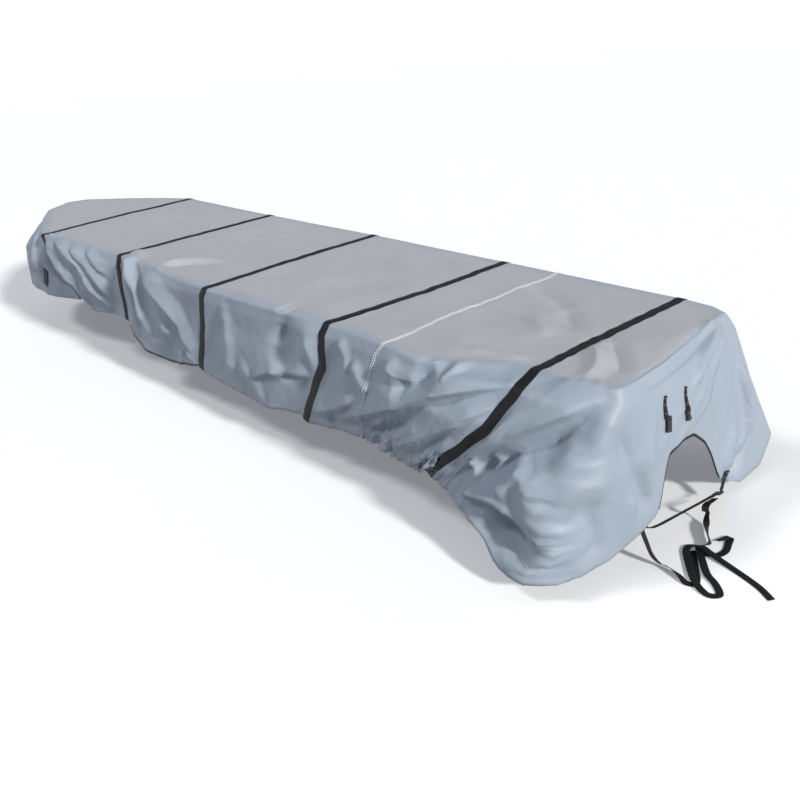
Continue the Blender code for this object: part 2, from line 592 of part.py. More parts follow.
def add_fittings(home, cutters):
    """The tabs, buckles and slider."""
    bow = cloth_samples(walk_of("near bow 2"), walk_of("near strap 1"))
    stern = cloth_samples(walk_of("corner 2"), walk_of("stern 4"))
    tabs = (
        ("bow_tab", BOW_TAB, WEBBING_WIDTH, bow, ()),
        ("stern_tab_near", STERN_TAB_NEAR, TAB_WIDTH, stern, ()),
        ("stern_tab_far", STERN_TAB_FAR, TAB_WIDTH, stern, ()),
        ("corner_tab", CORNER_TAB, CORNER_TAB_WIDTH, stern, CORNER_TAB_END),
    )
    for name, table, width, samples, free_end in tabs:
        points = tab_points(table, width, samples, free_end)
        add_sheet(name, points, WEBBING_THICKNESS, WEBBING_BLACK, 0.7, home)
    add_buckle("buckle_near", BUCKLE_NEAR, stern, home)
    add_buckle("buckle_far", BUCKLE_FAR, stern, home)
    add_slider(home, cutters)


def add_ties(home):
    """The tie across the cut-out and its two free ends."""
    for name, table in (("tie_taut", TIE_TAUT), ("tie_end_near", TIE_NEAR), ("tie_end_far", TIE_FAR)):
        add_sheet(name, ribbon_points(table), WEBBING_THICKNESS, WEBBING_BLACK, 0.7, home)


def main():
    clear_scene()
    home = bpy.data.collections.new("boat_cover")
    bpy.context.scene.collection.children.link(home)
    cutters = bpy.data.collections.new("cutters")
    bpy.context.scene.collection.children.link(cutters)
    cutters.hide_render = True
    add_cloth(home)
    add_fittings(home, cutters)
    add_ties(home)


main()
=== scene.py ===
import math

import bmesh
import bpy
import numpy as np
from mathutils import Matrix, Vector


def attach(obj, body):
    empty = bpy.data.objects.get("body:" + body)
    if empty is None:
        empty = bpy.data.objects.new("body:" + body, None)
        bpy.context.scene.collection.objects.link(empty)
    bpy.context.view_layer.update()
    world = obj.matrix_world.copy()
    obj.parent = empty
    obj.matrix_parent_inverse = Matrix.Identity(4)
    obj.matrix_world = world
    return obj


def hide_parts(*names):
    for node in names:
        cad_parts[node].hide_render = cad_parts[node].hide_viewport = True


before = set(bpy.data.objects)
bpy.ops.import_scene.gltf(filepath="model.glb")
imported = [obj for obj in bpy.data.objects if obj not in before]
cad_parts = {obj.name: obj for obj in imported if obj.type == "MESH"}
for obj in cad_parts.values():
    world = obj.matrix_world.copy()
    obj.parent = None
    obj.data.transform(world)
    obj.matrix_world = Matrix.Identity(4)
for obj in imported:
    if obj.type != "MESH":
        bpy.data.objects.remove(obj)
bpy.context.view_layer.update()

# Sizes, in metres. X runs towards the stern, Y to the far side and Z up.
clothThickness = 0.0008
webbingThickness = 0.0016
webbingWidth = 0.038
tieWidth = 0.025
strapX = {1: -1.76, 2: -0.88, 3: 0.0, 4: 0.88, 5: 1.76}
strapFlat = 0.0264  # half the width of cloth that a strap holds flat
strapEase = 0.03
seamX = 1.17
bowRootX = -1.791
sternRootX = 1.791
topLift = 0.003
floorZ = -0.66


def unit(vectors):
    length = np.linalg.norm(vectors, axis=-1, keepdims=True)
    return vectors / np.maximum(length, 1e-9)


# Camera, at the height and angle of someone standing by the stern.
def makeCamera():
    view = {"place": (3.544, -2.498, 1.177), "azimuth": 49.1, "height": 24.31, "roll": -4.87, "lens": 41.94}
    azimuth, height, roll = (math.radians(view[key]) for key in ("azimuth", "height", "roll"))
    back = Vector((
        math.sin(azimuth) * math.cos(height), -math.cos(azimuth) * math.cos(height), math.sin(height)
    ))
    right = Vector((math.cos(azimuth), math.sin(azimuth), 0.0))
    up = back.cross(right)
    rolledRight = math.cos(roll) * right + math.sin(roll) * up
    rolledUp = -math.sin(roll) * right + math.cos(roll) * up
    data = bpy.data.cameras.new("camera")
    data.lens = view["lens"]
    data.sensor_width = 36.0
    data.clip_end = 300.0
    camera = bpy.data.objects.new("camera", data)
    bpy.context.scene.collection.objects.link(camera)
    turned = Matrix((rolledRight, rolledUp, back)).transposed().to_4x4()
    camera.matrix_world = Matrix.Translation(view["place"]) @ turned
    bpy.context.scene.camera = camera


makeCamera()


# Materials.
# An sRGB hex colour as linear RGBA.
def fromHex(code):
    parts = [int(code[i:i + 2], 16) / 255 for i in (1, 3, 5)]
    return (*[p / 12.92 if p <= 0.04045 else ((p + 0.055) / 1.055) ** 2.4 for p in parts], 1.0)


# One node with its settings; a link is socket=value or socket=(node, output).
def addNode(tree, kind, settings=None, **links):
    node = tree.nodes.new(kind)
    for key, value in (settings or {}).items():
        setattr(node, key, value)
    for key, value in links.items():
        socket = node.inputs[int(key[1:])] if key[0] == "_" else node.inputs[key.replace("_", " ")]
        if isinstance(value, tuple) and hasattr(value[0], "outputs"):
            tree.links.new(value[0].outputs[value[1]], socket)
        else:
            socket.default_value = value
    return node


def newMaterial(name):
    made = bpy.data.materials.new(name)
    made.use_nodes = True
    return made, made.node_tree, made.node_tree.nodes["Principled BSDF"]


# Coated 300-denier polyester, woven and then coated: a close plain weave with a low sheen. Its top is painted a
# lighter, plainer grey as painted light from above, and its sides a darker, bluer grey as painted shade. The whole
# cloth keeps the crumples of being folded away.
def coatedPolyester():
    made, tree, shader = newMaterial("coated_polyester")
    flat = addNode(tree, "ShaderNodeUVMap", {"uv_map": "flat"})
    hem = addNode(tree, "ShaderNodeAttribute", {"attribute_name": "fromHem"})
    onTop = addNode(tree, "ShaderNodeAttribute", {"attribute_name": "onTop"})
    broad = addNode(tree, "ShaderNodeTexNoise", Vector=(flat, "UV"), Scale=1.7, Detail=4.0)
    # The sides' darker, bluer grey is painted shade.
    side = addNode(
        tree, "ShaderNodeMix", {"data_type": "RGBA"},
        _0=(broad, "Fac"), _6=fromHex("#939FAC"), _7=fromHex("#A3AFBC"),
    )
    # The top's lighter, plainer grey is painted light from above.
    paintedLitTop = addNode(
        tree, "ShaderNodeMix", {"data_type": "RGBA"},
        _0=(broad, "Fac"), _6=fromHex("#A7ABB1"), _7=fromHex("#B3B6BB"),
    )
    colour = addNode(
        tree, "ShaderNodeMix", {"data_type": "RGBA"}, _0=(onTop, "Fac"), _6=(side, 2), _7=(paintedLitTop, 2)
    )
    stitch = addNode(tree, "ShaderNodeMath", {"operation": "COMPARE"}, _0=(hem, "Fac"), _1=0.014, _2=0.0009)
    hemmed = addNode(
        tree, "ShaderNodeMix", {"data_type": "RGBA"},
        _0=(stitch, "Value"), _6=(colour, 2), _7=fromHex("#7E8A98"),
    )
    tree.links.new(hemmed.outputs[2], shader.inputs["Base Color"])
    rough = addNode(tree, "ShaderNodeMapRange", _0=(broad, "Fac"), _3=0.5, _4=0.6)
    tree.links.new(rough.outputs[0], shader.inputs["Roughness"])
    shader.inputs["Specular IOR Level"].default_value = 0.55
    shader.inputs["Sheen Weight"].default_value = 0.08
    shader.inputs["Sheen Roughness"].default_value = 0.4
    # Threads 0.45 mm apart, then crumples about 8 cm and 2 cm across and old fold lines 30 cm apart.
    threads = [
        addNode(tree, "ShaderNodeTexWave", {"bands_direction": way}, Vector=(flat, "UV"), Scale=350.0)
        for way in ("X", "Y")
    ]
    weave = addNode(
        tree, "ShaderNodeMath", {"operation": "MULTIPLY"}, _0=(threads[0], "Fac"), _1=(threads[1], "Fac")
    )
    crumple = addNode(tree, "ShaderNodeTexNoise", Vector=(flat, "UV"), Scale=7.0, Detail=5.0, Roughness=0.5)
    creases = addNode(
        tree, "ShaderNodeTexVoronoi", {"feature": "DISTANCE_TO_EDGE"}, Vector=(flat, "UV"), Scale=3.2
    )
    line = addNode(tree, "ShaderNodeMapRange", _0=(creases, "Distance"), _1=0.0, _2=0.03, _3=1.0, _4=0.0)
    seamTape = addNode(tree, "ShaderNodeMapRange", _0=(hem, "Fac"), _1=0.013, _2=0.017, _3=1.0, _4=0.0)
    bumpA = addNode(tree, "ShaderNodeBump", Height=(weave, "Value"), Distance=0.00008, Strength=0.5)
    bumpB = addNode(tree, "ShaderNodeBump", Height=(crumple, "Fac"), Normal=(bumpA, "Normal"), Distance=0.005)
    bumpC = addNode(
        tree, "ShaderNodeBump",
        Height=(line, "Result"), Normal=(bumpB, "Normal"), Distance=0.0008, Strength=0.5,
    )
    bumpD = addNode(
        tree, "ShaderNodeBump",
        Height=(seamTape, "Result"), Normal=(bumpC, "Normal"), Distance=0.0012, Strength=0.8,
    )
    tree.links.new(bumpD.outputs["Normal"], shader.inputs["Normal"])
    return made


# Black polypropylene webbing: ribs along its length 1.6 mm apart, slightly shiny.
def wovenWebbing():
    made, tree, shader = newMaterial("polypropylene_webbing")
    flat = addNode(tree, "ShaderNodeUVMap", {"uv_map": "flat"})
    ribs = addNode(tree, "ShaderNodeTexWave", {"bands_direction": "X"}, Vector=(flat, "UV"), Scale=98.0)
    picks = addNode(
        tree, "ShaderNodeTexWave", {"bands_direction": "Y"}, Vector=(flat, "UV"), Scale=78.0, Distortion=0.6
    )
    both = addNode(tree, "ShaderNodeMath", {"operation": "MULTIPLY"}, _0=(ribs, "Fac"), _1=(picks, "Fac"))
    colour = addNode(
        tree, "ShaderNodeMix", {"data_type": "RGBA"},
        _0=(both, "Value"), _6=fromHex("#0C0C0E"), _7=fromHex("#1B1B1E"),
    )
    tree.links.new(colour.outputs[2], shader.inputs["Base Color"])
    shader.inputs["Roughness"].default_value = 0.66
    shader.inputs["Specular IOR Level"].default_value = 0.35
    bump = addNode(tree, "ShaderNodeBump", Height=(both, "Value"), Distance=0.0004, Strength=0.8)
    tree.links.new(bump.outputs["Normal"], shader.inputs["Normal"])
    return made


# Black moulded acetal, fine-textured by its mould.
def mouldedAcetal():
    made, tree, shader = newMaterial("moulded_acetal")
    place = addNode(tree, "ShaderNodeTexCoord")
    grain = addNode(tree, "ShaderNodeTexNoise", Vector=(place, "Object"), Scale=1500.0, Detail=2.0)
    bump = addNode(tree, "ShaderNodeBump", Height=(grain, "Fac"), Distance=0.0001, Strength=0.4)
    shader.inputs["Base Color"].default_value = fromHex("#1B1B1E")
    shader.inputs["Roughness"].default_value = 0.42
    tree.links.new(bump.outputs["Normal"], shader.inputs["Normal"])
    return made


# Bonded polyester sewing thread.
def plainThread(name, code):
    made, tree, shader = newMaterial(name)
    shader.inputs["Base Color"].default_value = fromHex(code)
    shader.inputs["Roughness"].default_value = 0.6
    shader.inputs["Sheen Weight"].default_value = 0.3
    return made


def paintedFloor():
    made, tree, shader = newMaterial("white_floor")
    shader.inputs["Base Color"].default_value = fromHex("#F6F7F8")
    shader.inputs["Emission Color"].default_value = fromHex("#FFFFFF")
    shader.inputs["Emission Strength"].default_value = 0.16
    shader.inputs["Roughness"].default_value = 0.85
    shader.inputs["Specular IOR Level"].default_value = 0.1
    return made


clothLook = coatedPolyester()
webbingLook = wovenWebbing()
acetalLook = mouldedAcetal()
whiteThread = plainThread("white_thread", "#F4F5F6")
greyThread = plainThread("grey_thread", "#8F949B")


# Meshes from tables of points.
# A sheet through rows by columns of points, as one object with its thickness about the middle.
def sheetPiece(name, points, uvs, look, thickness, marks=None):
    rows, columns = points.shape[:2]
    shape = bmesh.new()
    bmesh.ops.create_grid(shape, x_segments=columns - 1, y_segments=rows - 1, size=1.0)
    flat = shape.loops.layers.uv.new("flat")
    layers = {mark: shape.verts.layers.float.new(mark) for mark in marks or {}}
    spot = {}
    for vertex in shape.verts:
        column = round((vertex.co.x + 1.0) / 2.0 * (columns - 1))
        row = round((vertex.co.y + 1.0) / 2.0 * (rows - 1))
        spot[vertex.index] = (row, column)
        vertex.co = points[row, column]
        for mark, layer in layers.items():
            vertex[layer] = marks[mark][row, column]
    for face in shape.faces:
        for loop in face.loops:
            loop[flat].uv = uvs[spot[loop.vert.index]]
    bmesh.ops.remove_doubles(shape, verts=shape.verts, dist=0.0001)
    bmesh.ops.recalc_face_normals(shape, faces=shape.faces)
    if sum(face.normal.z * face.calc_area() for face in shape.faces) < 0:
        bmesh.ops.reverse_faces(shape, faces=shape.faces)
    made = finishPiece(name, shape, look)
    solid = made.modifiers.new("thickness", "SOLIDIFY")
    solid.thickness = thickness
    solid.offset = 0.0
    return made


def finishPiece(name, shape, look):
    mesh = bpy.data.meshes.new(name)
    shape.to_mesh(mesh)
    shape.free()
    mesh.polygons.foreach_set("use_smooth", [True] * len(mesh.polygons))
    mesh.materials.append(look)
    made = bpy.data.objects.new(name, mesh)
    bpy.context.scene.collection.objects.link(made)
    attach(made, "root")
    return made


# The worn edge of a length of webbing.
def softEdge(made):
    bevel = made.modifiers.new("edge", "BEVEL")
    bevel.width = 0.0004
    bevel.segments = 1


# The distance of each point of a line from its start.
def distanceAlong(line):
    return np.concatenate([[0.0], np.cumsum(np.linalg.norm(np.diff(line, axis=0), axis=1))])


# The ties, which come before the cloth. Their routes repeat the CAD's: x, y, z of the middle, then the
# compass turn and the lift of the width in degrees.
tieTaut = [
    (2.066, -.222, -.455, 90, 0),
    (2.068, -.218, -.52, 70, 0),
    (2.076, -.186, -.551, 20, 12),
    (2.082, -.13, -.563, 2, 24),
    (2.085, -.02, -.575, 0, 26),
    (2.088, .11, -.589, 0, 26),
    (2.0905, .2215, -.6005, 0, 22),
]
tieNear = [
    (2.083, -.234, -.47, 96, 0),
    (2.085, -.234, -.53, 98, 0),
    (2.104, -.232, -.578, 102, 0),
    (2.12, -.226, -.618, 104, -10),
    (2.144, -.216, -.645, 96, -32),
    (2.18, -.215, -.646, 84, -44),
    (2.222, -.226, -.65, 78, -25),
    (2.254, -.239, -.6565, 86, -4),
    (2.278, -.229, -.6585, 154, 0),
    (2.272, -.202, -.6585, 203, 0),
    (2.238, -.154, -.6585, 215, 0),
    (2.196, -.096, -.6585, 214, 0),
    (2.182, -.076, -.6585, 185, 0),
    (2.196, -.066, -.6585, 112, 0),
    (2.222, -.054, -.6585, 110, 0),
    (2.25, -.038, -.6585, 141, 0),
    (2.258, 0, -.6585, 179, 0),
    (2.242, .05, -.658, 197, 0),
    (2.23, .083, -.6555, 182, 0),
    (2.222, .058, -.6525, 163, -6),
    (2.212, .028, -.65, 160, -20),
]
tieFar = [
    (2.098, .205, -.607, 0, 22),
    (2.105, .168, -.599, -4, 16),
    (2.11, .134, -.59, 4, 10),
    (2.114, .112, -.593, 25, 0),
    (2.116, .11, -.607, 40, 0),
    (2.118, .12, -.624, -30, 0),
    (2.126, .104, -.641, 0, -10),
    (2.14, .076, -.643, 30, -40),
    (2.162, .044, -.642, 48, -58),
    (2.186, .016, -.642, 52, -60),
    (2.204, -.008, -.643, 85, -50),
    (2.196, -.028, -.647, 118, -35),
    (2.176, -.04, -.65, 124, -26),
    (2.156, -.058, -.653, 160, -6),
    (2.164, -.088, -.6545, 204, 0),
    (2.206, -.142, -.6545, 212, 0),
    (2.262, -.206, -.6535, 225, 0),
    (2.304, -.24, -.6535, 242, 0),
    (2.344, -.25, -.6575, 283, 0),
    (2.366, -.226, -.658, 373, 0),
    (2.33, -.188, -.656, 411, 0),
    (2.284, -.16, -.653, 410, 0),
    (2.24, -.112, -.651, 401, 0),
    (2.206, -.072, -.648, 399, 0),
    (2.186, -.047, -.644, 416, 0),
    (2.206, -.052, -.641, 433, 0),
    (2.232, -.057, -.645, 434, 0),
    (2.262, -.062, -.651, 434, 0),
    (2.345, -.081, -.6575, 434, 0),
    (2.436, -.112, -.6585, 427, 0),
    (2.497, -.147, -.6585, 420, 0),
]


def curveThrough(values, steps):
    ends = np.concatenate([[2 * values[0] - values[1]], values, [2 * values[-1] - values[-2]]])
    made = []
    for a, b, c, d in zip(ends[:-3], ends[1:-2], ends[2:-1], ends[3:]):
        for t in np.arange(steps) / steps:
            cubic = (3 * b - a - 3 * c + d) * t**3
            made.append(0.5 * (2 * b + (c - a) * t + (2 * a - 5 * b + 4 * c - d) * t**2 + cubic))
    return np.array([*made, values[-1]])


# A length of webbing along its route.
def ribbon(name, table, node):
    run = curveThrough(np.array(table, float), 8)
    middle = run[:, :3]
    turn, lift = np.radians(run[:, 3]), np.radians(run[:, 4])
    across = np.stack([np.cos(turn) * np.cos(lift), np.sin(turn) * np.cos(lift), np.sin(lift)], axis=1)
    half = tieWidth / 2
    lowest = floorZ + np.abs(across[:, 2]) * half + webbingThickness / 2 + 0.0004
    middle[:, 2] = np.maximum(middle[:, 2], lowest)
    offsets = np.linspace(-half, half, 5)
    points = middle[:, None] + across[:, None] * offsets[None, :, None]
    along = distanceAlong(middle)
    uvs = np.stack(np.broadcast_arrays(offsets[None, :], along[:, None]), axis=-1)
    made = sheetPiece(name, points, uvs, webbingLook, webbingThickness)
    softEdge(made)
    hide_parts(node)
    return made, middle, float(along[-1])


def makeTies():
    ribbon("tieAcross", tieTaut, "tie_taut")
    for name, table, node in (("tieEndNear", tieNear, "tie_end_near"), ("tieEndFar", tieFar, "tie_end_far")):
        made, middle, length = ribbon(name, table, node)
        print(name, round(length, 3), "m long")


makeTies()
print("ties made")

# How the cloth hangs. A row a section, going round from the far end of the cross seam by the bow, the near
# side and the stern: its name, the x where it leaves the top's middle line, then x, y on the top's edge at
# height 0, and x, y, z on the shoulder under it, on the belly of the side and on the hem.
sections = [
    ("far seam", 1.17, (1.17, .497), (1.17, .519, -.053), (1.17, .528, -.194), (1.17, .51, -.414)),
    ("far strap 4", .88, (.88, .497), (.88, .519, -.053), (.88, .528, -.194), (.88, .51, -.414)),
    ("far strap 3", 0, (0, .506), (0, .528, -.053), (0, .537, -.194), (0, .519, -.431)),
    ("far strap 2", -.88, (-.88, .493), (-.88, .515, -.053), (-.88, .519, -.176), (-.88, .502, -.387)),
    ("far side 1", -1.32, (-1.32, .493), (-1.32, .515, -.053), (-1.32, .519, -.176), (-1.32, .493, -.378)),
    ("far strap 1", -1.76, (-1.76, .497), (-1.742, .51, -.053), (-1.725, .502, -.176), (-1.707, .458, -.378)),
    ("far bow 1", -1.791, (-1.954, .422), (-1.971, .458, -.044), (-1.989, .493, -.176), (-1.998, .493, -.378)),
    ("far bow 2", -1.791, (-2.191, .295), (-2.218, .326, -.044), (-2.253, .378, -.176), (-2.288, .405, -.378)),
    ("far nose", -1.791, (-2.464, .114), (-2.508, .132, -.053), (-2.57, .158, -.176), (-2.614, .176, -.37)),
    ("nose", -1.791, (-2.504, 0), (-2.552, 0, -.053), (-2.614, 0, -.176), (-2.666, 0, -.37)),
    ("near nose", -1.791, (-2.394, -.176), (-2.438, -.211, -.053), (-2.517, -.264, -.176), (-2.552, -.299, -.378)),
    ("near bow 2", -1.791, (-2.156, -.308), (-2.2, -.352, -.053), (-2.253, -.431, -.176), (-2.253, -.449, -.396)),
    ("near bow 1", -1.791, (-1.936, -.414), (-1.954, -.466, -.053), (-1.989, -.519, -.176), (-1.954, -.493, -.405)),
    ("near strap 1", -1.76, (-1.725, -.508), (-1.7, -.506, -.053), (-1.637, -.49, -.176), (-1.51, -.455, -.35)),
    ("near side 1", -1.54, (-1.54, -.497), (-1.522, -.528, -.053), (-1.461, -.528, -.176), (-1.434, -.466, -.37)),
    ("near side 2", -1.32, (-1.32, -.484), (-1.311, -.515, -.053), (-1.285, -.537, -.176), (-1.267, -.506, -.361)),
    ("near strap 2", -.88, (-.88, -.466), (-.854, -.497, -.053), (-.845, -.51, -.176), (-.862, -.502, -.333)),
    ("near side 3", -.73, (-.73, -.475), (-.722, -.506, -.053), (-.73, -.528, -.194), (-.774, -.515, -.387)),
    ("near side 4", -.598, (-.598, -.487), (-.598, -.515, -.053), (-.607, -.532, -.211), (-.66, -.519, -.449)),
    ("near side 5", -.44, (-.44, -.497), (-.44, -.524, -.053), (-.44, -.537, -.22), (-.44, -.51, -.466)),
    ("near strap 3", 0, (.018, -.521), (-.009, -.528, -.044), (-.035, -.532, -.176), (-.123, -.528, -.414)),
    ("near side 6", .44, (.44, -.509), (.422, -.532, -.053), (.396, -.55, -.22), (.37, -.528, -.458)),
    ("near strap 4", .88, (.836, -.486), (.832, -.515, -.044), (.827, -.528, -.167), (.678, -.537, -.436)),
    ("near seam", 1.17, (1.179, -.509), (1.153, -.528, -.044), (1.126, -.55, -.15), (1.03, -.528, -.409)),
    ("near side 7", 1.364, (1.373, -.528), (1.364, -.563, -.062), (1.32, -.576, -.167), (1.232, -.546, -.414)),
    ("near side 8", 1.514, (1.522, -.458), (1.514, -.537, -.044), (1.461, -.581, -.15), (1.32, -.55, -.436)),
    ("near side 9", 1.672, (1.672, -.37), (1.672, -.502, -.035), (1.602, -.563, -.167), (1.373, -.55, -.44)),
    ("near strap 5", 1.76, (1.76, -.37), (1.778, -.48, -.026), (1.69, -.537, -.167), (1.408, -.546, -.422)),
    ("quarter 1", 1.791, (1.91, -.387), (1.874, -.466, -.053), (1.76, -.528, -.194), (1.54, -.572, -.458)),
    ("quarter 2", 1.791, (2.006, -.365), (1.962, -.431, -.062), (1.83, -.546, -.238), (1.698, -.616, -.502)),
    ("quarter 3", 1.791, (2.046, -.352), (2.033, -.396, -.062), (1.927, -.563, -.264), (1.83, -.664, -.581)),
    ("corner 1", 1.791, (2.064, -.339), (2.077, -.37, -.053), (2.006, -.528, -.264), (1.945, -.647, -.603)),
    ("corner 2", 1.791, (2.064, -.317), (2.09, -.317, -.053), (2.077, -.44, -.264), (2.037, -.554, -.598)),
    ("stern 1", 1.791, (2.059, -.246), (2.09, -.255, -.053), (2.103, -.326, -.264), (2.072, -.396, -.581)),
    ("stern 2", 1.791, (2.05, -.176), (2.086, -.185, -.053), (2.103, -.22, -.264), (2.094, -.246, -.532)),
    ("cut 1", 1.791, (2.046, -.114), (2.081, -.123, -.053), (2.103, -.15, -.246), (2.094, -.154, -.502)),
    ("cut 2", 1.791, (2.042, -.079), (2.077, -.088, -.044), (2.099, -.106, -.176), (2.099, -.121, -.304)),
    ("cut 3", 1.791, (2.033, -.018), (2.068, -.018, -.044), (2.094, -.026, -.167), (2.094, -.035, -.286)),
    ("cut 4", 1.791, (2.024, .044), (2.059, .044, -.044), (2.086, .048, -.167), (2.09, .053, -.299)),
    ("cut 5", 1.791, (2.015, .106), (2.05, .106, -.044), (2.077, .119, -.194), (2.086, .132, -.361)),
    ("cut 6", 1.791, (2.006, .15), (2.042, .154, -.044), (2.068, .167, -.229), (2.081, .194, -.44)),
    ("cut 7", 1.791, (1.998, .194), (2.033, .198, -.053), (2.059, .229, -.264), (2.077, .264, -.563)),
    ("stern 3", 1.791, (1.989, .273), (2.024, .286, -.053), (2.05, .352, -.264), (2.086, .405, -.638)),
    ("stern 4", 1.791, (1.969, .37), (2.002, .387, -.053), (2.033, .466, -.264), (2.086, .554, -.625)),
    ("far corner 1", 1.791, (1.965, .436), (1.993, .462, -.053), (2.015, .554, -.264), (2.059, .686, -.546)),
    ("far corner 2", 1.791, (1.892, .475), (1.901, .502, -.053), (1.91, .598, -.264), (1.936, .704, -.528)),
    ("far strap 5", 1.76, (1.76, .488), (1.76, .51, -.053), (1.716, .528, -.176), (1.672, .563, -.44)),
    ("far seam end", 1.17, (1.17, .497), (1.17, .519, -.053), (1.17, .528, -.194), (1.17, .51, -.414)),
]
levelRows = [0.0, 1.0, 1.15, 1.5, 2.0]
levelBlur = 0.02
sectionBlur = 0.008


def levelsOf(section):
    return np.array([(section[1], 0.0, 0.0), (*section[2], 0.0), *section[3:]], float)


# (roots, walks, levels), with every strap's section split in two and the ends carried on.
def hangingSections():
    rows = [levelsOf(section) for section in sections]
    roots, levels = [], []
    for index, section in enumerate(sections):
        here = rows[index]
        if "strap" not in section[0]:
            roots.append(section[1])
            levels.append(here)
            continue
        going = rows[index + 1] - rows[index - 1]
        down = unit(np.gradient(here, axis=0))
        side = unit(going - down * (going * down).sum(axis=1, keepdims=True))
        rootSide = 1.0 if section[2][1] < 0 else -1.0
        side[0] = (rootSide, 0.0, 0.0)
        for sign in (-1.0, 1.0):
            roots.append(section[1] + sign * rootSide * strapFlat)
            levels.append(here + sign * strapFlat * side)
    levels = np.array([levelsOf(sections[-2]), *levels, levelsOf(sections[1])])
    levels[:, :, 2] += topLift
    roots = np.array([sections[-2][1], *roots, sections[1][1]])
    walks = distanceAlong(levels[:, 1])
    return roots, walks - walks[1], levels


roots, walks, levels = hangingSections()
nearFirst = int(np.argmax((levels[:, 1, 1] < 0) & (roots > bowRootX)))
strapWalks = [
    (a + b) / 2 for a, b, c, d in zip(walks[:-1], walks[1:], roots[:-1], roots[1:])
    if abs(abs(d - c) - 2 * strapFlat) < 1e-6
]


def softened(x, knots, values, blur):
    shifts = np.linspace(-1.0, 1.0, 9)
    return sum(np.interp(x + shift * blur, knots, values) for shift in shifts) / len(shifts)


# A point of the cloth without folds, from the walk round its edge and the row out from its middle.
def hung(walk, row):
    walk, row = np.broadcast_arrays(np.asarray(walk, float), np.asarray(row, float))
    blur = np.minimum(levelBlur, np.minimum(row, 2.0 - row))
    found = np.zeros(walk.shape + (3,))
    for level in range(5):
        share = softened(row, levelRows, np.eye(5)[level], blur)
        blurHere = sectionBlur if level else 0.0
        for axis in range(3):
            found[..., axis] += share * softened(walk, walks, levels[:, level, axis], blurHere)
    return found


def outward(walk, row):
    step = 0.004
    row = np.clip(row, 0.02, 1.98)
    along = hung(walk + step, row) - hung(walk - step, row)
    down = hung(walk, row + step) - hung(walk, row - step)
    return unit(np.cross(down, along))


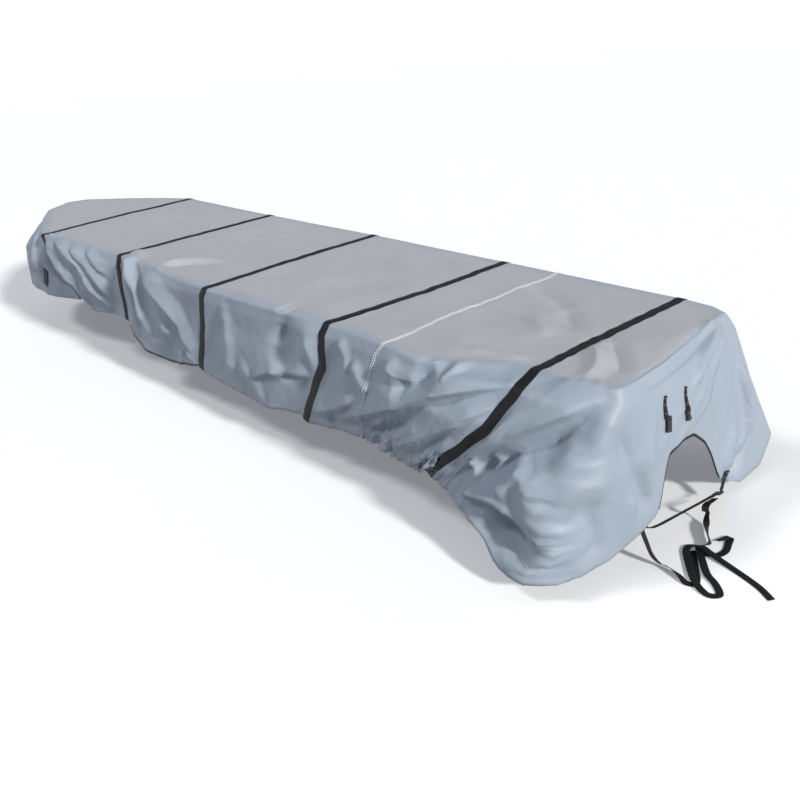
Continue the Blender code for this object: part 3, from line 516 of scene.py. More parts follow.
# Folds: kind, height out of the cloth, half width, then x, y, z along the fold. A lap is steep on the right
# of its run, seen from outside; a sharp one comes to an edge; a round one is soft on both sides.
folds = [
    # The big laps that run down from the near stern corner, and the folds that spread below them.
    ("lap", .03, .07, [(1.5, -.54, -.35), (1.76, -.52, -.18), (1.91, -.46, -.09), (2.05, -.35, -.01)]),
    ("lap", -.028, .07, [(1.98, -.43, -.08), (1.94, -.48, -.13), (1.84, -.54, -.19), (1.62, -.56, -.33)]),
    ("round", .016, .016, [(1.62, -.54, -.28), (1.67, -.56, -.36)]),
    ("round", .014, .016, [(1.74, -.54, -.24), (1.72, -.55, -.31)]),
    ("sharp", .034, .045, [(1.88, -.55, -.23), (1.82, -.57, -.3), (1.76, -.58, -.37)]),
    ("lap", .03, .07, [(1.98, -.57, -.47), (1.93, -.57, -.34), (1.87, -.55, -.24)]),
    ("sharp", .018, .035, [(1.87, -.55, -.25), (1.97, -.55, -.32)]),
    ("lap", .03, .045, [(1.58, -.57, -.42), (1.74, -.59, -.39), (1.88, -.6, -.41)]),
    ("round", -.06, .055, [(1.72, -.59, -.43), (1.8, -.61, -.47), (1.92, -.6, -.51)]),
    ("lap", .034, .045, [(1.9, -.63, -.58), (1.99, -.58, -.5), (1.96, -.58, -.45), (1.89, -.6, -.41)]),
    ("sharp", .02, .03, [(1.8, -.6, -.52), (1.88, -.61, -.56), (1.93, -.62, -.62)]),
    ("sharp", .02, .04, [(2.06, -.36, -.02), (2.05, -.43, -.17), (2.05, -.47, -.35)]),
    ("round", -.014, .03, [(2.07, -.37, -.08), (2.09, -.35, -.19), (2.09, -.2, -.5)]),
    ("sharp", .012, .025, [(2.01, -.53, -.38), (2.04, -.5, -.44), (2.06, -.48, -.52)]),
    ("sharp", -.01, .02, [(1.98, -.56, -.5), (2.03, -.55, -.56), (2.05, -.53, -.63)]),
    ("lap", .024, .06, [(2.01, -.57, -.55), (2.01, -.53, -.38), (2.01, -.49, -.23), (1.99, -.45, -.12)]),
    ("round", -.016, .04, [(2.04, -.5, -.3), (2.06, -.48, -.45), (2.07, -.45, -.56)]),
    ("sharp", .012, .03, [(2.07, -.3, -.34), (2.08, -.31, -.44), (2.09, -.3, -.55)]),
    # The stern face: folds that fan out from its far corner, and drawn lines above the cut-out.
    ("lap", .018, .045, [(1.97, .38, -.01), (2.05, .14, -.06), (2.1, -.07, -.18), (2.1, -.19, -.24)]),
    ("sharp", -.012, .03, [(1.98, .36, -.01), (2.05, .05, -.03), (2.08, -.28, -.04)]),
    ("lap", .016, .035, [(2.09, .02, -.28), (2.05, .18, -.15), (1.97, .38, -.01)]),
    ("sharp", .014, .03, [(2.1, -.1, -.3), (2.09, .05, -.19), (2.04, .22, -.08)]),
    ("lap", .026, .05, [(2.01, .43, -.15), (2.05, .47, -.35), (2.06, .45, -.44), (2.07, .36, -.54)]),
    ("round", -.024, .028, [(2.06, .49, -.42), (2.07, .42, -.52), (2.08, .33, -.61)]),
    ("sharp", .018, .03, [(2.07, .38, -.38), (2.08, .33, -.48), (2.08, .3, -.56)]),
    ("sharp", .012, .03, [(2.09, -.2, -.13), (2.1, -.24, -.3), (2.1, -.22, -.45)]),
    ("sharp", -.01, .028, [(2.09, -.28, -.14), (2.1, -.29, -.3), (2.1, -.25, -.45)]),
    # The near side by the stern: long creases from the corner towards the gathered hem.
    ("lap", .024, .05, [
        (.87, -.53, -.37), (1.07, -.54, -.29), (1.35, -.58, -.16), (1.53, -.55, -.08), (1.74, -.47, -.02),
    ]),
    ("lap", .02, .045, [(1.24, -.55, -.37), (1.46, -.57, -.24), (1.61, -.55, -.15), (1.74, -.5, -.07)]),
    ("lap", .018, .04, [(1.3, -.55, -.43), (1.54, -.56, -.26), (1.72, -.51, -.12)]),
    ("sharp", .018, .028, [(1.69, -.54, -.2), (1.55, -.55, -.32), (1.42, -.55, -.42)]),
    ("sharp", .014, .028, [(1.14, -.55, -.38), (1.3, -.56, -.3), (1.46, -.56, -.2)]),
    ("sharp", -.01, .024, [(1.05, -.54, -.37), (1.2, -.55, -.3), (1.36, -.57, -.21)]),
    ("sharp", .014, .025, [(1.5, -.55, -.09), (1.52, -.5, -.02), (1.53, -.45, 0)]),
    ("round", -.026, .045, [(1.27, -.56, -.13), (1.39, -.55, -.07), (1.46, -.51, -.03)]),
    ("sharp", .016, .03, [(1.22, -.53, -.04), (1.3, -.55, -.08), (1.4, -.54, -.07)]),
    ("sharp", .014, .022, [(1.03, -.53, -.08), (1.08, -.54, -.14), (1.13, -.55, -.19)]),
    ("sharp", .014, .022, [(.93, -.51, -.03), (.98, -.53, -.08), (1.01, -.53, -.16)]),
    ("lap", .02, .05, [(.72, -.53, -.38), (.88, -.53, -.33), (1.07, -.54, -.22)]),
    # The near side by the bow: four long drawn folds and a lap by the first strap.
    ("lap", .026, .042, [(-1.72, -.5, -.02), (-1.42, -.53, -.18), (-1.22, -.51, -.34)]),
    ("lap", .026, .042, [(-1.6, -.5, -.01), (-1.27, -.52, -.1), (-1.02, -.5, -.34)]),
    ("lap", .022, .042, [(-1.44, -.49, -.01), (-1.11, -.52, -.12), (-.97, -.51, -.29)]),
    ("sharp", .014, .03, [(-1.23, -.49, -.01), (-.96, -.51, -.11)]),
    ("lap", .028, .035, [(-1.74, -.5, -.04), (-1.7, -.48, -.18), (-1.6, -.47, -.3)]),
    ("sharp", .014, .03, [(-1.95, -.4, -.02), (-1.92, -.46, -.15), (-1.9, -.47, -.28)]),
    ("round", -.014, .04, [(-2.15, -.33, -.02), (-2.2, -.37, -.2), (-2.18, -.38, -.36)]),
    # Between the second strap and the fourth.
    ("round", .028, .03, [
        (-.86, -.34, 0), (-.78, -.43, 0), (-.7, -.5, -.05), (-.62, -.53, -.16), (-.58, -.52, -.37),
    ]),
    ("round", -.02, .03, [(-.82, -.46, -.01), (-.71, -.53, -.15), (-.68, -.52, -.36)]),
    ("lap", .026, .055, [(-.61, -.5, -.02), (-.33, -.53, -.16), (-.13, -.53, -.38)]),
    ("sharp", .018, .03, [(-.46, -.52, -.22), (-.36, -.53, -.3), (-.2, -.53, -.4)]),
    ("sharp", .016, .03, [(-.28, -.53, -.18), (-.23, -.53, -.28), (-.16, -.53, -.41)]),
    ("sharp", .014, .022, [(-.5, -.47, 0), (-.49, -.34, 0), (-.38, -.26, 0), (-.24, -.22, 0)]),
    ("sharp", -.01, .02, [(-.47, -.44, 0), (-.4, -.33, 0), (-.27, -.28, 0)]),
    ("round", .014, .03, [(.16, -.52, -.02), (.18, -.54, -.21), (.14, -.54, -.38)]),
    ("round", -.03, .075, [(.5, -.52, -.06), (.6, -.53, -.14), (.52, -.54, -.26)]),
    ("lap", .018, .045, [(.3, -.55, -.36), (.45, -.54, -.28), (.62, -.53, -.24), (.8, -.53, -.22)]),
    ("sharp", .012, .03, [(.24, -.54, -.28), (.34, -.54, -.35), (.42, -.54, -.44)]),
    ("sharp", .014, .035, [(.73, -.51, -.03), (.78, -.53, -.17), (.74, -.53, -.3)]),
    # Slack on the top.
    ("sharp", -.01, .04, [(1.16, .3, 0), (1.34, .24, 0), (1.5, .14, 0)]),
    ("sharp", .012, .035, [(1.79, -.1, 0), (1.9, -.24, 0), (1.93, -.36, 0)]),
    ("sharp", -.01, .035, [(1.8, -.02, 0), (1.93, -.16, 0), (1.98, -.26, 0)]),
    ("sharp", -.01, .04, [(1.46, .16, 0), (1.66, -.03, 0)]),
    ("round", .008, .035, [(1.4, .04, 0), (1.62, -.13, 0)]),
    ("sharp", .009, .03, [(1.42, -.36, 0), (1.7, -.3, 0)]),
    ("sharp", .007, .03, [(-.62, .04, 0), (-.39, .24, 0)]),
    ("sharp", .007, .035, [(.1, -.44, 0), (.45, -.49, 0), (.78, -.47, 0)]),
    ("sharp", -.006, .04, [(.2, .1, 0), (.6, .16, 0)]),
]


# For all the folds: gain acts on the heights above, highest is how far one may rise over the top, and deepest
# how far its line may run under the cloth. The rest are shares that shape it and end it.
foldShape = {
    "gain": 1.5, "highest": 0.022, "deepest": 0.06, "reach": 1.7, "steep": 0.2, "power": 1.3, "taper": 0.22,
    "least": 0.15,
}


# How far the folds move each point out of the cloth.
def foldLift(points, outs):
    raised, sunk = np.zeros(points.shape[:-1]), np.zeros(points.shape[:-1])
    for kind, height, halfWidth, line in folds:
        line = curveThrough(np.array(line, float), 4)
        margin = max(3 * halfWidth, 0.09)
        low, high = line.min(axis=0) - margin, line.max(axis=0) + margin
        near = np.all((points > low) & (points < high), axis=-1)
        if not near.any():
            continue
        here, out = points[near], outs[near]
        nearest = np.full(len(here), np.inf)
        side = np.zeros(len(here))
        done = np.zeros(len(here))
        lengths = np.linalg.norm(np.diff(line, axis=0), axis=1)
        before = 0.0
        for start, end, length in zip(line[:-1], line[1:], lengths):
            run = (end - start) / length
            share = np.clip((here - start) @ run, 0.0, length)
            away = here - start - share[:, None] * run
            deep = (away * out).sum(axis=1)
            away = away - out * np.clip(deep, -foldShape["deepest"], foldShape["deepest"])[:, None]
            gap = np.linalg.norm(away, axis=1)
            better = gap < nearest
            right = (away * np.cross(run, out)).sum(axis=1)
            nearest = np.where(better, gap, nearest)
            side = np.where(better, right, side)
            done = np.where(better, before + share, done)
            before += length
        slope = np.clip(1.0 - nearest / (foldShape["reach"] * halfWidth), 0.0, 1.0) ** foldShape["power"]
        if kind == "round":
            shape = np.exp(-((nearest / halfWidth) ** 2))
        elif kind == "sharp":
            shape = slope
        else:
            shape = np.where(side > 0, np.exp(-((nearest / (foldShape["steep"] * halfWidth)) ** 2)), slope)
        total = lengths.sum()
        fromEnd = np.minimum(done, total - done) / (foldShape["taper"] * total)
        here = foldShape["gain"] * height * shape * np.clip(fromEnd, foldShape["least"], 1.0)
        raised[near] = np.maximum(raised[near], here)
        sunk[near] = np.minimum(sunk[near], here)
    return raised + sunk


# Smooth seeded noise over two coordinates, from a sum of turned sine waves; size is its wavelength.
def waves(a, b, seed, size):
    random = np.random.default_rng(seed)
    total = np.zeros(np.broadcast(a, b).shape)
    for _ in range(14):
        angle, phase = random.uniform(0, 2 * math.pi, 2)
        rate = 2 * math.pi / (size * random.uniform(0.6, 1.7))
        total += np.sin(rate * (a * math.cos(angle) + b * math.sin(angle)) + phase)
    return total / 3.7


# The same noise folded over, so that it comes to creased ridges.
def creasedWaves(a, b, seed, size):
    return 1.0 - 2.0 * np.abs(waves(a, b, seed, size))


# The ruffles where the hem's elastic draws the cloth in.
gather = {"height": 0.0135, "pitch": 0.044}


def gathers(points, walk, row):
    x = points[..., 0]
    near = (points[..., 1] < -0.3) * np.clip((row - 1.58) / 0.34, 0, 1) ** 1.2
    stretch = np.clip((x - 0.8) / 0.06, 0, 1) * np.clip((1.72 - x) / 0.12, 0, 1)
    calm = 0.55 + 0.45 * np.tanh(2.0 * waves(walk, 0.0 * walk, 7, 0.3))
    phase = 2 * math.pi * walk / gather["pitch"] + 4.0 * waves(walk, row * 0.2, 5, 0.17)
    return gather["height"] * near * stretch * calm * (np.sin(phase) + 0.9 * waves(walk, row * 0.35, 6, 0.06))


def easeAtStraps(walk):
    ease = np.ones(np.shape(walk))
    for middle in strapWalks:
        ease = ease * (1.0 - np.exp(-(((walk - middle) / strapEase) ** 2)))
    return ease


flatSpots = [
    (2.085, -.235, -.5), (2.092, -.136, -.12), (2.095, -.136, -.18), (2.085, -.01, -.13), (2.092, -.01, -.19),
]


# Heights of the waves in the cloth between its folds.
slack = {"top": 0.004, "topCrease": 0.0018, "side": 0.0075, "sideCrease": 0.005, "crumple": 0.0009}


# A point of the cloth with its folds, wrinkles and gathers. It lies flat where the stern tabs are sewn on.
def draped(walk, row):
    walk, row = np.broadcast_arrays(np.asarray(walk, float), np.asarray(row, float))
    points = hung(walk, row)
    outs = outward(walk, row)
    ease = easeAtStraps(walk)
    x, y = points[..., 0], points[..., 1]
    onTop = np.clip(row / 0.08, 0, 1) * np.clip((1.02 - row) / 0.25, 0, 1)
    top = onTop * (slack["top"] * waves(x, y, 11, 0.55) + slack["topCrease"] * creasedWaves(x, y, 12, 0.45))
    onSide = np.clip((row - 1.02) / 0.3, 0, 1)
    drop = row * 0.4  # about metres down the side
    hangs = slack["side"] * waves(walk + 0.6 * drop, drop * 0.5, 13, 0.42)
    hangs = hangs + slack["sideCrease"] * creasedWaves(walk + 0.9 * drop, drop * 0.35, 14, 0.4)
    calmStern = 1.0 - 0.75 * np.clip((x - 1.75) / 0.15, 0, 1)
    hangs = onSide * calmStern * (hangs + slack["crumple"] * creasedWaves(walk, drop, 15, 0.12))
    flat = np.ones(np.shape(x))
    for place in flatSpots:
        flat = flat * (1.0 - np.exp(-((points - place) ** 2).sum(axis=-1) / 0.07 ** 2))
    ease = ease * flat
    lift = (foldLift(points, outs) + top + hangs) * ease + gathers(points, walk, row) * (0.4 + 0.6 * ease)
    lift = np.minimum(lift, foldShape["highest"] / np.maximum(outs[..., 2], 0.3))
    return points + outs * lift[..., None]


def sideWalks(wanted, far):
    span = slice(1, nearFirst) if far else slice(nearFirst, -1)
    keep = (roots[span] > bowRootX + 0.001) & (roots[span] < sternRootX - 0.001)
    keep &= levels[span, 1, 1] > 0 if far else levels[span, 1, 1] < 0
    order = np.argsort(roots[span][keep])
    return np.interp(wanted, roots[span][keep][order], walks[span][keep][order])


def sternFarWalks(wanted):
    keep = (walks > walks[-1] * 0.6) & (levels[:, 1, 1] > 0) & (roots < sternRootX - 0.001)
    order = np.argsort(roots[keep])
    return np.interp(wanted, roots[keep][order], walks[keep][order])


# Evenly spread values that also pass through the marks between the two ends.
def spread(first, last, spacing, marks=()):
    stops = [first, *sorted(m for m in marks if first + 1e-4 < m < last - 1e-4), last]
    made = [first]
    for a, b in zip(stops[:-1], stops[1:]):
        count = max(1, math.ceil((b - a) / spacing - 1e-6))
        made += list(np.linspace(a, b, count + 1)[1:])
    return np.array(made)


# The points of a panel's grid, their flat coordinates, and how far each is from the hem and on the top.
def panelGrid(columnWalks, columnRoots, rows):
    points = draped(columnWalks[None, :], rows[:, None])
    middle = np.stack([columnRoots, np.zeros(len(columnRoots)), np.full(len(columnRoots), topLift)], axis=1)
    points[0] = middle
    steps = np.linalg.norm(np.diff(points, axis=0), axis=2)
    down = np.concatenate([np.zeros((1, len(columnWalks))), np.cumsum(steps, axis=0)])
    heading = unit((hung(columnWalks, np.full(len(columnWalks), 1.0)) - middle)[:, :2])
    uvs = middle[None, :, :2] + heading[None] * down[:, :, None]
    fromHem = down[-1][None, :] - down
    # onTop picks the painted light of the top over the painted shade of the sides.
    onTop = np.clip((1.0 - rows) / 0.12, 0.0, 1.0)[:, None] + 0.0 * down
    return points, uvs, {"fromHem": fromHem, "onTop": onTop}


# Rows from the middle line to the hem, closest together on the edge and the hanging side.
def panelRows(count):
    return np.concatenate([
        np.linspace(0.0, 0.9, count[0])[:-1],
        np.linspace(0.9, 1.2, count[1])[:-1],
        np.linspace(1.2, 2.0, count[2]),
    ])


def makePanels():
    mainPanel = {"spacing": 0.0125, "rows": (26, 18, 36)}
    sternPanel = {"spacing": 0.0095, "rows": (32, 24, 56)}
    span = spread(strapX[1] - strapFlat, seamX - 0.0003, mainPanel["spacing"])
    far, near = sideWalks(span, True)[::-1], sideWalks(span, False)
    fan = spread(far[-1], near[0], mainPanel["spacing"])[1:-1]
    columnRoots = np.concatenate([span[::-1], np.full(len(fan), bowRootX), span])
    columnWalks = np.concatenate([far, fan, near])
    points, uvs, marks = panelGrid(columnWalks, columnRoots, panelRows(mainPanel["rows"]))
    main = sheetPiece("mainCloth", points, uvs, clothLook, clothThickness, marks)
    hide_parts("main_panel")

    span = spread(seamX + 0.0003, strapX[5] + strapFlat, sternPanel["spacing"])
    near, far = sideWalks(span, False), sternFarWalks(span)[::-1]
    fan = spread(near[-1], far[0], sternPanel["spacing"])[1:-1]
    columnRoots = np.concatenate([span, np.full(len(fan), sternRootX), span[::-1]])
    columnWalks = np.concatenate([near, fan, far])
    points, uvs, marks = panelGrid(columnWalks, columnRoots, panelRows(sternPanel["rows"]))
    stern = sheetPiece("sternCloth", points, uvs, clothLook, clothThickness, marks)
    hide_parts("stern_panel")
    return main, stern


mainCloth, sternCloth = makePanels()
print("panels made")


def pointsAt(wanted, along, line):
    return np.stack([np.interp(wanted, along, line[:, axis]) for axis in range(3)], axis=1)


# Small bars of thread: places, the way each runs and the way out of the cloth.
def addStitches(shape, places, ways, outs, size):
    for place, way, out in zip(places, ways, outs):
        across = np.cross(out, way)
        turned = Matrix((across * size[0], way * size[1], out * size[2])).transposed().to_4x4()
        turned.translation = Vector(place)
        bmesh.ops.create_cube(shape, size=1.0, matrix=turned)


# Places off the cloth, which the straps, tapes and stitches follow.
def onCloth(walk, row, off):
    return draped(walk, row) + outward(walk, row) * off


# Points of a strip from the near hem over the top to the far hem; halfWidth is at the strap's flat.
def stripOver(nearWalk, farWalk, halfWidth, off, columns, rows):
    shares = np.linspace(-1.0, 1.0, columns)
    sway = 0.0016 * waves(rows, 0.0 * rows, 21, 0.16)[:, None]
    near = onCloth(nearWalk + sway[::-1] + shares[None, :] * halfWidth, rows[::-1, None], off)
    far = onCloth(farWalk - sway[1:] - shares[None, :] * halfWidth, rows[1:, None], off)
    return np.concatenate([near, far])


def alongUvs(points, width):
    middle = points[:, points.shape[1] // 2]
    along = distanceAlong(middle)
    across = np.linspace(-width / 2, width / 2, points.shape[1])
    return np.stack(np.broadcast_arrays(across[None, :], along[:, None]), axis=-1)


# The strap's walk on one side.
def walkNearest(target, far):
    side = [w for w in strapWalks if (hung(w, 1.0)[1] > 0) == far]
    return min(side, key=lambda w: abs(float(hung(w, 0.0)[0]) - target))


def makeStraps():
    strap = {"columns": 5, "off": clothThickness / 2 + webbingThickness / 2 + 0.0006}
    rows = panelRows((30, 26, 46))
    for number, x in strapX.items():
        nearWalk, farWalk = walkNearest(x, False), walkNearest(x, True)
        width = webbingWidth / 2
        points = stripOver(nearWalk, farWalk, width, strap["off"], strap["columns"], rows)
        made = sheetPiece(
            f"strap{number}", points, alongUvs(points, webbingWidth), webbingLook, webbingThickness
        )
        softEdge(made)
        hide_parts(f"strap_{number}")
    boxStitch(walkNearest(strapX[5], False), strap["off"])


# The box and cross sewn through the last strap's near end, in grey thread.
def boxStitch(walk, off):
    box = {"half": 0.014, "rows": (1.925, 1.985), "stitch": (0.0018, 0.005, 0.0008), "spacing": 0.0065}
    low, high = box["rows"]
    corners = [(-1, low), (1, low), (1, high), (-1, high)]
    shape = bmesh.new()
    for start, end in ((0, 1), (1, 2), (2, 3), (3, 0), (0, 2), (1, 3)):
        shares = np.linspace(0, 1, 24)
        across = walk + box["half"] * (corners[start][0] * (1 - shares) + corners[end][0] * shares)
        down = corners[start][1] * (1 - shares) + corners[end][1] * shares
        line = onCloth(across, down, off + webbingThickness / 2 + 0.0005)
        along = distanceAlong(line)
        wanted = np.arange(box["spacing"] / 2, along[-1], box["spacing"])
        at = pointsAt(wanted, along, line)
        way = np.tile(unit(line[-1] - line[0]), (len(at), 1))
        out = outward(np.full(len(at), walk), np.full(len(at), (low + high) / 2))
        out = unit(out - way * (out * way).sum(axis=1, keepdims=True))
        addStitches(shape, at, way, out, box["stitch"])
    finishPiece("strap5Stitches", shape, greyThread)


makeStraps()
print("straps made")


# The cross seam: a lapped strip of the same cloth with two rows of white stitches, drawn about three times as
# thick as real thread, because finer ones would not show.
def makeSeam():
    seam = {"halfWidth": 0.01, "rowAt": 0.0055, "stitch": (0.0026, 0.0085, 0.0012), "pitch": 0.0112}
    nearWalk, farWalk = float(sideWalks(seamX, False)), 0.0
    rows = panelRows((60, 40, 80))
    lift = clothThickness + 0.0004
    points = stripOver(nearWalk, farWalk, seam["halfWidth"], lift, 5, rows)
    # onTop gives the seam strip the painted light of the top where it crosses it.
    marks = {"fromHem": np.ones(points.shape[:2]), "onTop": (points[..., 2] > -0.02) * 1.0}
    uvs = alongUvs(points, 2 * seam["halfWidth"])
    strip = sheetPiece("crossSeam", points, uvs, clothLook, 0.0007, marks)
    shape = bmesh.new()
    for side in (-1, 1):
        line = stripOver(nearWalk, farWalk, side * seam["rowAt"], lift, 3, rows)[:, 2]
        skin = stripOver(nearWalk, farWalk, side * seam["rowAt"], lift + 0.004, 3, rows)[:, 2]
        along = distanceAlong(line)
        wanted = np.arange(0.006, along[-1] - 0.006, seam["pitch"])
        at = pointsAt(wanted, along, line)
        above = pointsAt(wanted, along, skin)
        out = unit(above - at)
        way = unit(np.gradient(at, axis=0))
        way = unit(way - out * (way * out).sum(axis=1, keepdims=True))
        addStitches(shape, at + out * 0.0007, way, out, seam["stitch"])
    thread = finishPiece("seamStitches", shape, whiteThread)
    return strip, thread


seamPieces = makeSeam()
print("seam made")


def walkOf(name):
    section = next(row for row in sections if row[0] == name)
    edge = levelsOf(section)[1] + (0.0, 0.0, topLift)
    return float(walks[np.argmin(np.linalg.norm(levels[:, 1] - edge, axis=1))])


# A narrow strip folded over the hem between two walks. It draws the cut-out's binding and the dark strip of painted
# shade along the near hem.
def hemStrip(name, first, last, width, look):
    walk = np.linspace(first, last, max(12, round((last - first) / 0.008)))
    low, above = onCloth(walk, 2.0, 0.0), onCloth(walk, 1.95, 0.0)
    up = unit(above - low)
    out = outward(walk, np.full(len(walk), 1.96))
    gap = clothThickness / 2 + 0.0012
    lines = [low + up * width + out * gap, low + up * width / 2 + out * (gap + 0.0004), low + out * gap]
    lines += [low - up * 0.0016, low - out * gap, low + up * width - out * gap]
    points = np.stack(lines)
    uvs = np.stack(np.broadcast_arrays(np.arange(6.0)[:, None] * width / 3, walk[None, :]), axis=-1)
    return sheetPiece(name, points, uvs, look, 0.0011)


def makeBindingAndHemShade():
    width = {"cutOut": 0.0095, "hemShade": 0.006}
    # A black binding along the cut-out's edge; its dark line also stands for the shade inside that edge, as painted
    # shade.
    cutOut = hemStrip("cutOutBindingShade", walkOf("cut 1"), walkOf("cut 7"), width["cutOut"], webbingLook)
    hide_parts("cutout_binding")
    nearTwo, nearThree = walkNearest(strapX[2], False), walkNearest(strapX[3], False)
    # A dark strip of painted shade along the near hem, standing for the shade inside the turned-under hem, in the
    # black webbing look.
    hemStrip("hemShadeStrip", nearTwo + 0.06, nearThree - 0.03, width["hemShade"], webbingLook)


makeBindingAndHemShade()
print("bindings made")


# Tabs: x, y, z beside the cloth, then how far the tab stands off it. The corner tab runs on past the hem.
tabs = {
    "bowTab": {
        "node": "bow_tab", "width": .038, "sewn": (.12, .3), "end": [],
        "run": [(-1.826, -.492, -.214, .0035), (-1.868, -.492, -.272, .0035), (-1.915, -.492, -.33, .0035)],
    },
    "sternTabNear": {
        "node": "stern_tab_near", "width": .016, "sewn": (.17, .5, .82), "end": [],
        "run": [(2.085, -.132, -.083, .003), (2.089, -.139, -.112, .003), (2.092, -.14, -.156, .0095)],
    },
    "sternTabFar": {
        "node": "stern_tab_far", "width": .016, "sewn": (.17, .48, .82), "end": [],
        "run": [(2.078, -.003, -.099, .003), (2.085, -.012, -.126, .003), (2.091, -.0185, -.165, .0095)],
    },
    "cornerTab": {
        "node": "corner_tab", "width": .025, "sewn": (.1, .32),
        "end": [(2.082, .287, -.578), (2.087, .27, -.594), (2.092, .2505, -.6015)],
        "run": [(2.077, .304, -.54, .0035), (2.077, .298, -.56, .0035)],
    },
}
buckles = {
    "buckleNear": {
        "node": "buckle_near", "ends": [(2.092, -.128, -.151, .0085), (2.099, -.136, -.206, .0085)],
        "outline": [
            (-8, -27), (3, -27), (8, -25), (12, -22), (12.5, -13), (10.5, -9), (10, 12), (11, 20), (8, 27),
            (-10, 27), (-11.5, 22), (-10, 0), (-10, -20),
        ],
    },
    "buckleFar": {
        "node": "buckle_far", "ends": [(2.09, -.02, -.161, .0085), (2.092, -.007, -.216, .0085)],
        "outline": [
            (-8, -27), (1, -27), (8, -21), (12.5, -15), (12, -7), (8, 0), (9, 9), (12.5, 17), (11, 21),
            (2, 26), (-8, 27), (-12.5, 21), (-8, 12), (-6, 2), (-9, -10), (-11, -20),
        ],
    },
}


# A table's places moved on to the cloth nearest to them, and the ways out of it there.
def againstCloth(table, samples):
    points, outs = samples
    places, ways = [], []
    for *place, off in table:
        nearest = int(np.argmin(np.linalg.norm(points - place, axis=1)))
        out = outs[nearest]
        places.append(place + out * (off - (place - points[nearest]) @ out))
        ways.append(out)
    return np.array(places), np.array(ways)


def clothSamples(first, last):
    walk, row = np.meshgrid(np.linspace(first, last, 200), np.linspace(1.0, 2.0, 200))
    return draped(walk, row).reshape(-1, 3), outward(walk, row).reshape(-1, 3)


def makeTab(name, tab, samples):
    places, ways = againstCloth(tab["run"], samples)
    places = np.array([*places, *tab["end"]])
    ways = np.array([*ways, *[ways[-1]] * len(tab["end"])])
    middle, out = curveThrough(places, 8), unit(curveThrough(ways, 8))
    along = unit(np.gradient(middle, axis=0))
    across = unit(np.cross(along, out))
    offsets = np.linspace(-tab["width"] / 2, tab["width"] / 2, 7)
    points = middle[:, None] + across[:, None] * offsets[None, :, None]
    made = sheetPiece(name, points, alongUvs(points, tab["width"]), webbingLook, webbingThickness)
    softEdge(made)
    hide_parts(tab["node"])
    shape = bmesh.new()
    for share in tab["sewn"]:
        index = share * (len(middle) - 1)
        low = int(index)
        at = middle[low] + (middle[low + 1] - middle[low]) * (index - low)
        count = max(4, round(tab["width"] / 0.0028))
        spots = at + across[low] * np.linspace(-0.42, 0.42, count)[:, None] * tab["width"]
        spots = spots + out[low] * (webbingThickness / 2 + 0.0003)
        turn = math.radians(18)
        way = across[low] * math.cos(turn) + along[low] * math.sin(turn)
        addStitches(shape, spots, [way] * count, [out[low]] * count, (0.0011, 0.0026, 0.0008))
    finishPiece(name + "Stitches", shape, greyThread)


# Half of a side-release buckle: a moulded outline with soft edges, a sunk face and a bar for the webbing.
def makeBuckle(name, buckle, samples):
    ends, outs = againstCloth(buckle["ends"], samples)
    down = unit(ends[1] - ends[0])
    out = unit(outs[0] - down * (outs[0] @ down))
    place = Matrix(np.stack([np.cross(down, out), down, out], axis=1).tolist()).to_4x4()
    place.translation = Vector(ends.mean(axis=0))
    thick, sunk = 0.0076, 0.0013
    shape = bmesh.new()
    outline = [shape.verts.new((a / 1000, b / 1000, -thick / 2)) for a, b in buckle["outline"]]
    face = shape.faces.new(outline)
    raised = bmesh.ops.extrude_face_region(shape, geom=[face])["geom"]
    lifted = [item for item in raised if isinstance(item, bmesh.types.BMVert)]
    bmesh.ops.translate(shape, vec=(0, 0, thick), verts=lifted)
    bmesh.ops.recalc_face_normals(shape, faces=shape.faces)
    bmesh.ops.bevel(
        shape, geom=shape.edges[:], offset=0.0011, segments=2, profile=0.5, affect="EDGES", material=-1
    )
    top = [f for f in shape.faces if f.normal.z > 0.99 and f.calc_area() > 0.0004]
    bmesh.ops.inset_region(shape, faces=top, thickness=0.0022, use_even_offset=True)
    bmesh.ops.translate(shape, vec=(0, 0, -sunk), verts=list({v for f in top for v in f.verts}))
    for along, size in ((-0.0125, (0.019, 0.0034, 0.003)), (0.0035, (0.012, 0.0022, 0.0022))):
        bar = bmesh.ops.create_cube(shape, size=1.0)["verts"]
        bmesh.ops.scale(shape, vec=size, verts=bar)
        bmesh.ops.translate(shape, vec=(0.001, along, thick / 2 - sunk + size[2] / 2 - 0.0006), verts=bar)
    bmesh.ops.transform(shape, matrix=place, verts=shape.verts)
    made = finishPiece(name, shape, acetalLook)
    made.data.set_sharp_from_angle(angle=math.radians(35))
    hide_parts(buckle["node"])


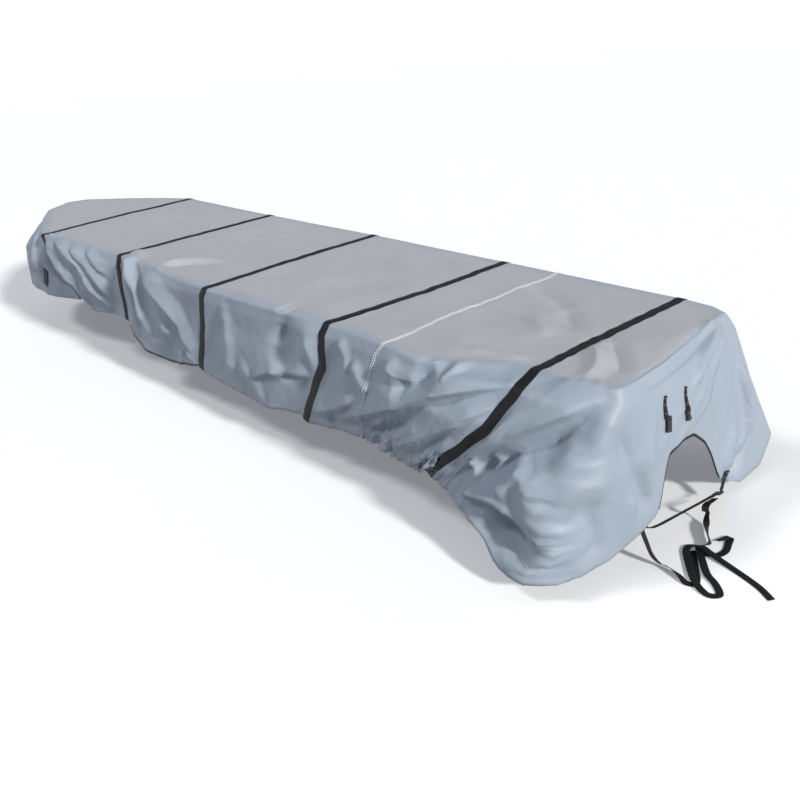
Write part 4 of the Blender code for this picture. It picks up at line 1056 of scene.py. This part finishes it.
def makeFittings():
    bow = clothSamples(walkOf("near bow 2"), walkOf("near strap 1"))
    stern = clothSamples(walkOf("corner 2"), walkOf("stern 4"))
    for name, tab in tabs.items():
        makeTab(name, tab, bow if name == "bowTab" else stern)
    for name, buckle in buckles.items():
        makeBuckle(name, buckle, stern)
    slider = bpy.data.objects["ladder_slider"]  # its shape is the CAD's own
    slider.data.materials.clear()
    slider.data.materials.append(acetalLook)


makeFittings()
print("fittings made")


# The floor, the light and the surroundings.
def makeFloor():
    floorShape = {"size": 70.0, "flatTo": 18.0, "rise": 0.004}
    shape = bmesh.new()
    bmesh.ops.create_grid(shape, x_segments=60, y_segments=60, size=floorShape["size"])
    for vertex in shape.verts:
        past = max(0.0, vertex.co.xy.length - floorShape["flatTo"])
        vertex.co.z = floorZ - 0.0005 + floorShape["rise"] * past ** 2
    mesh = bpy.data.meshes.new("floor")
    shape.to_mesh(mesh)
    shape.free()
    mesh.polygons.foreach_set("use_smooth", [True] * len(mesh.polygons))
    mesh.materials.append(paintedFloor())
    floor = bpy.data.objects.new("floor", mesh)
    floor.visible_diffuse = False  # it throws no light back up, so the undersides of folds stay dark
    bpy.context.scene.collection.objects.link(floor)


def addLight(name, kind, place, target, power, code, **settings):
    data = bpy.data.lights.new(name, kind)
    data.energy = power
    data.color = fromHex(code)[:3]
    for key, value in settings.items():
        setattr(data, key, value)
    made = bpy.data.objects.new(name, data)
    aim = (Vector(target) - Vector(place)).to_track_quat("-Z", "Y")
    made.matrix_world = Matrix.Translation(place) @ aim.to_matrix().to_4x4()
    bpy.context.scene.collection.objects.link(made)


def makeLight():
    addLight("sternLight", "SUN", (6.0, -0.6, 2.8), (0, 0, 0), 3.7, "#FFFCF8", angle=math.radians(6))
    addLight("sideLight", "SUN", (-1.6, -2.4, 4.0), (0, 0, 0), 0.9, "#FFFFFF", angle=math.radians(12))
    world = bpy.data.worlds.new("surroundings")
    world.use_nodes = True
    sky = world.node_tree.nodes["Background"]
    sky.inputs["Color"].default_value = fromHex("#E6EEFF")
    sky.inputs["Strength"].default_value = 0.24
    bpy.context.scene.world = world
    bpy.context.scene.view_settings.view_transform = "Standard"


makeFloor()
makeLight()
print("light made")
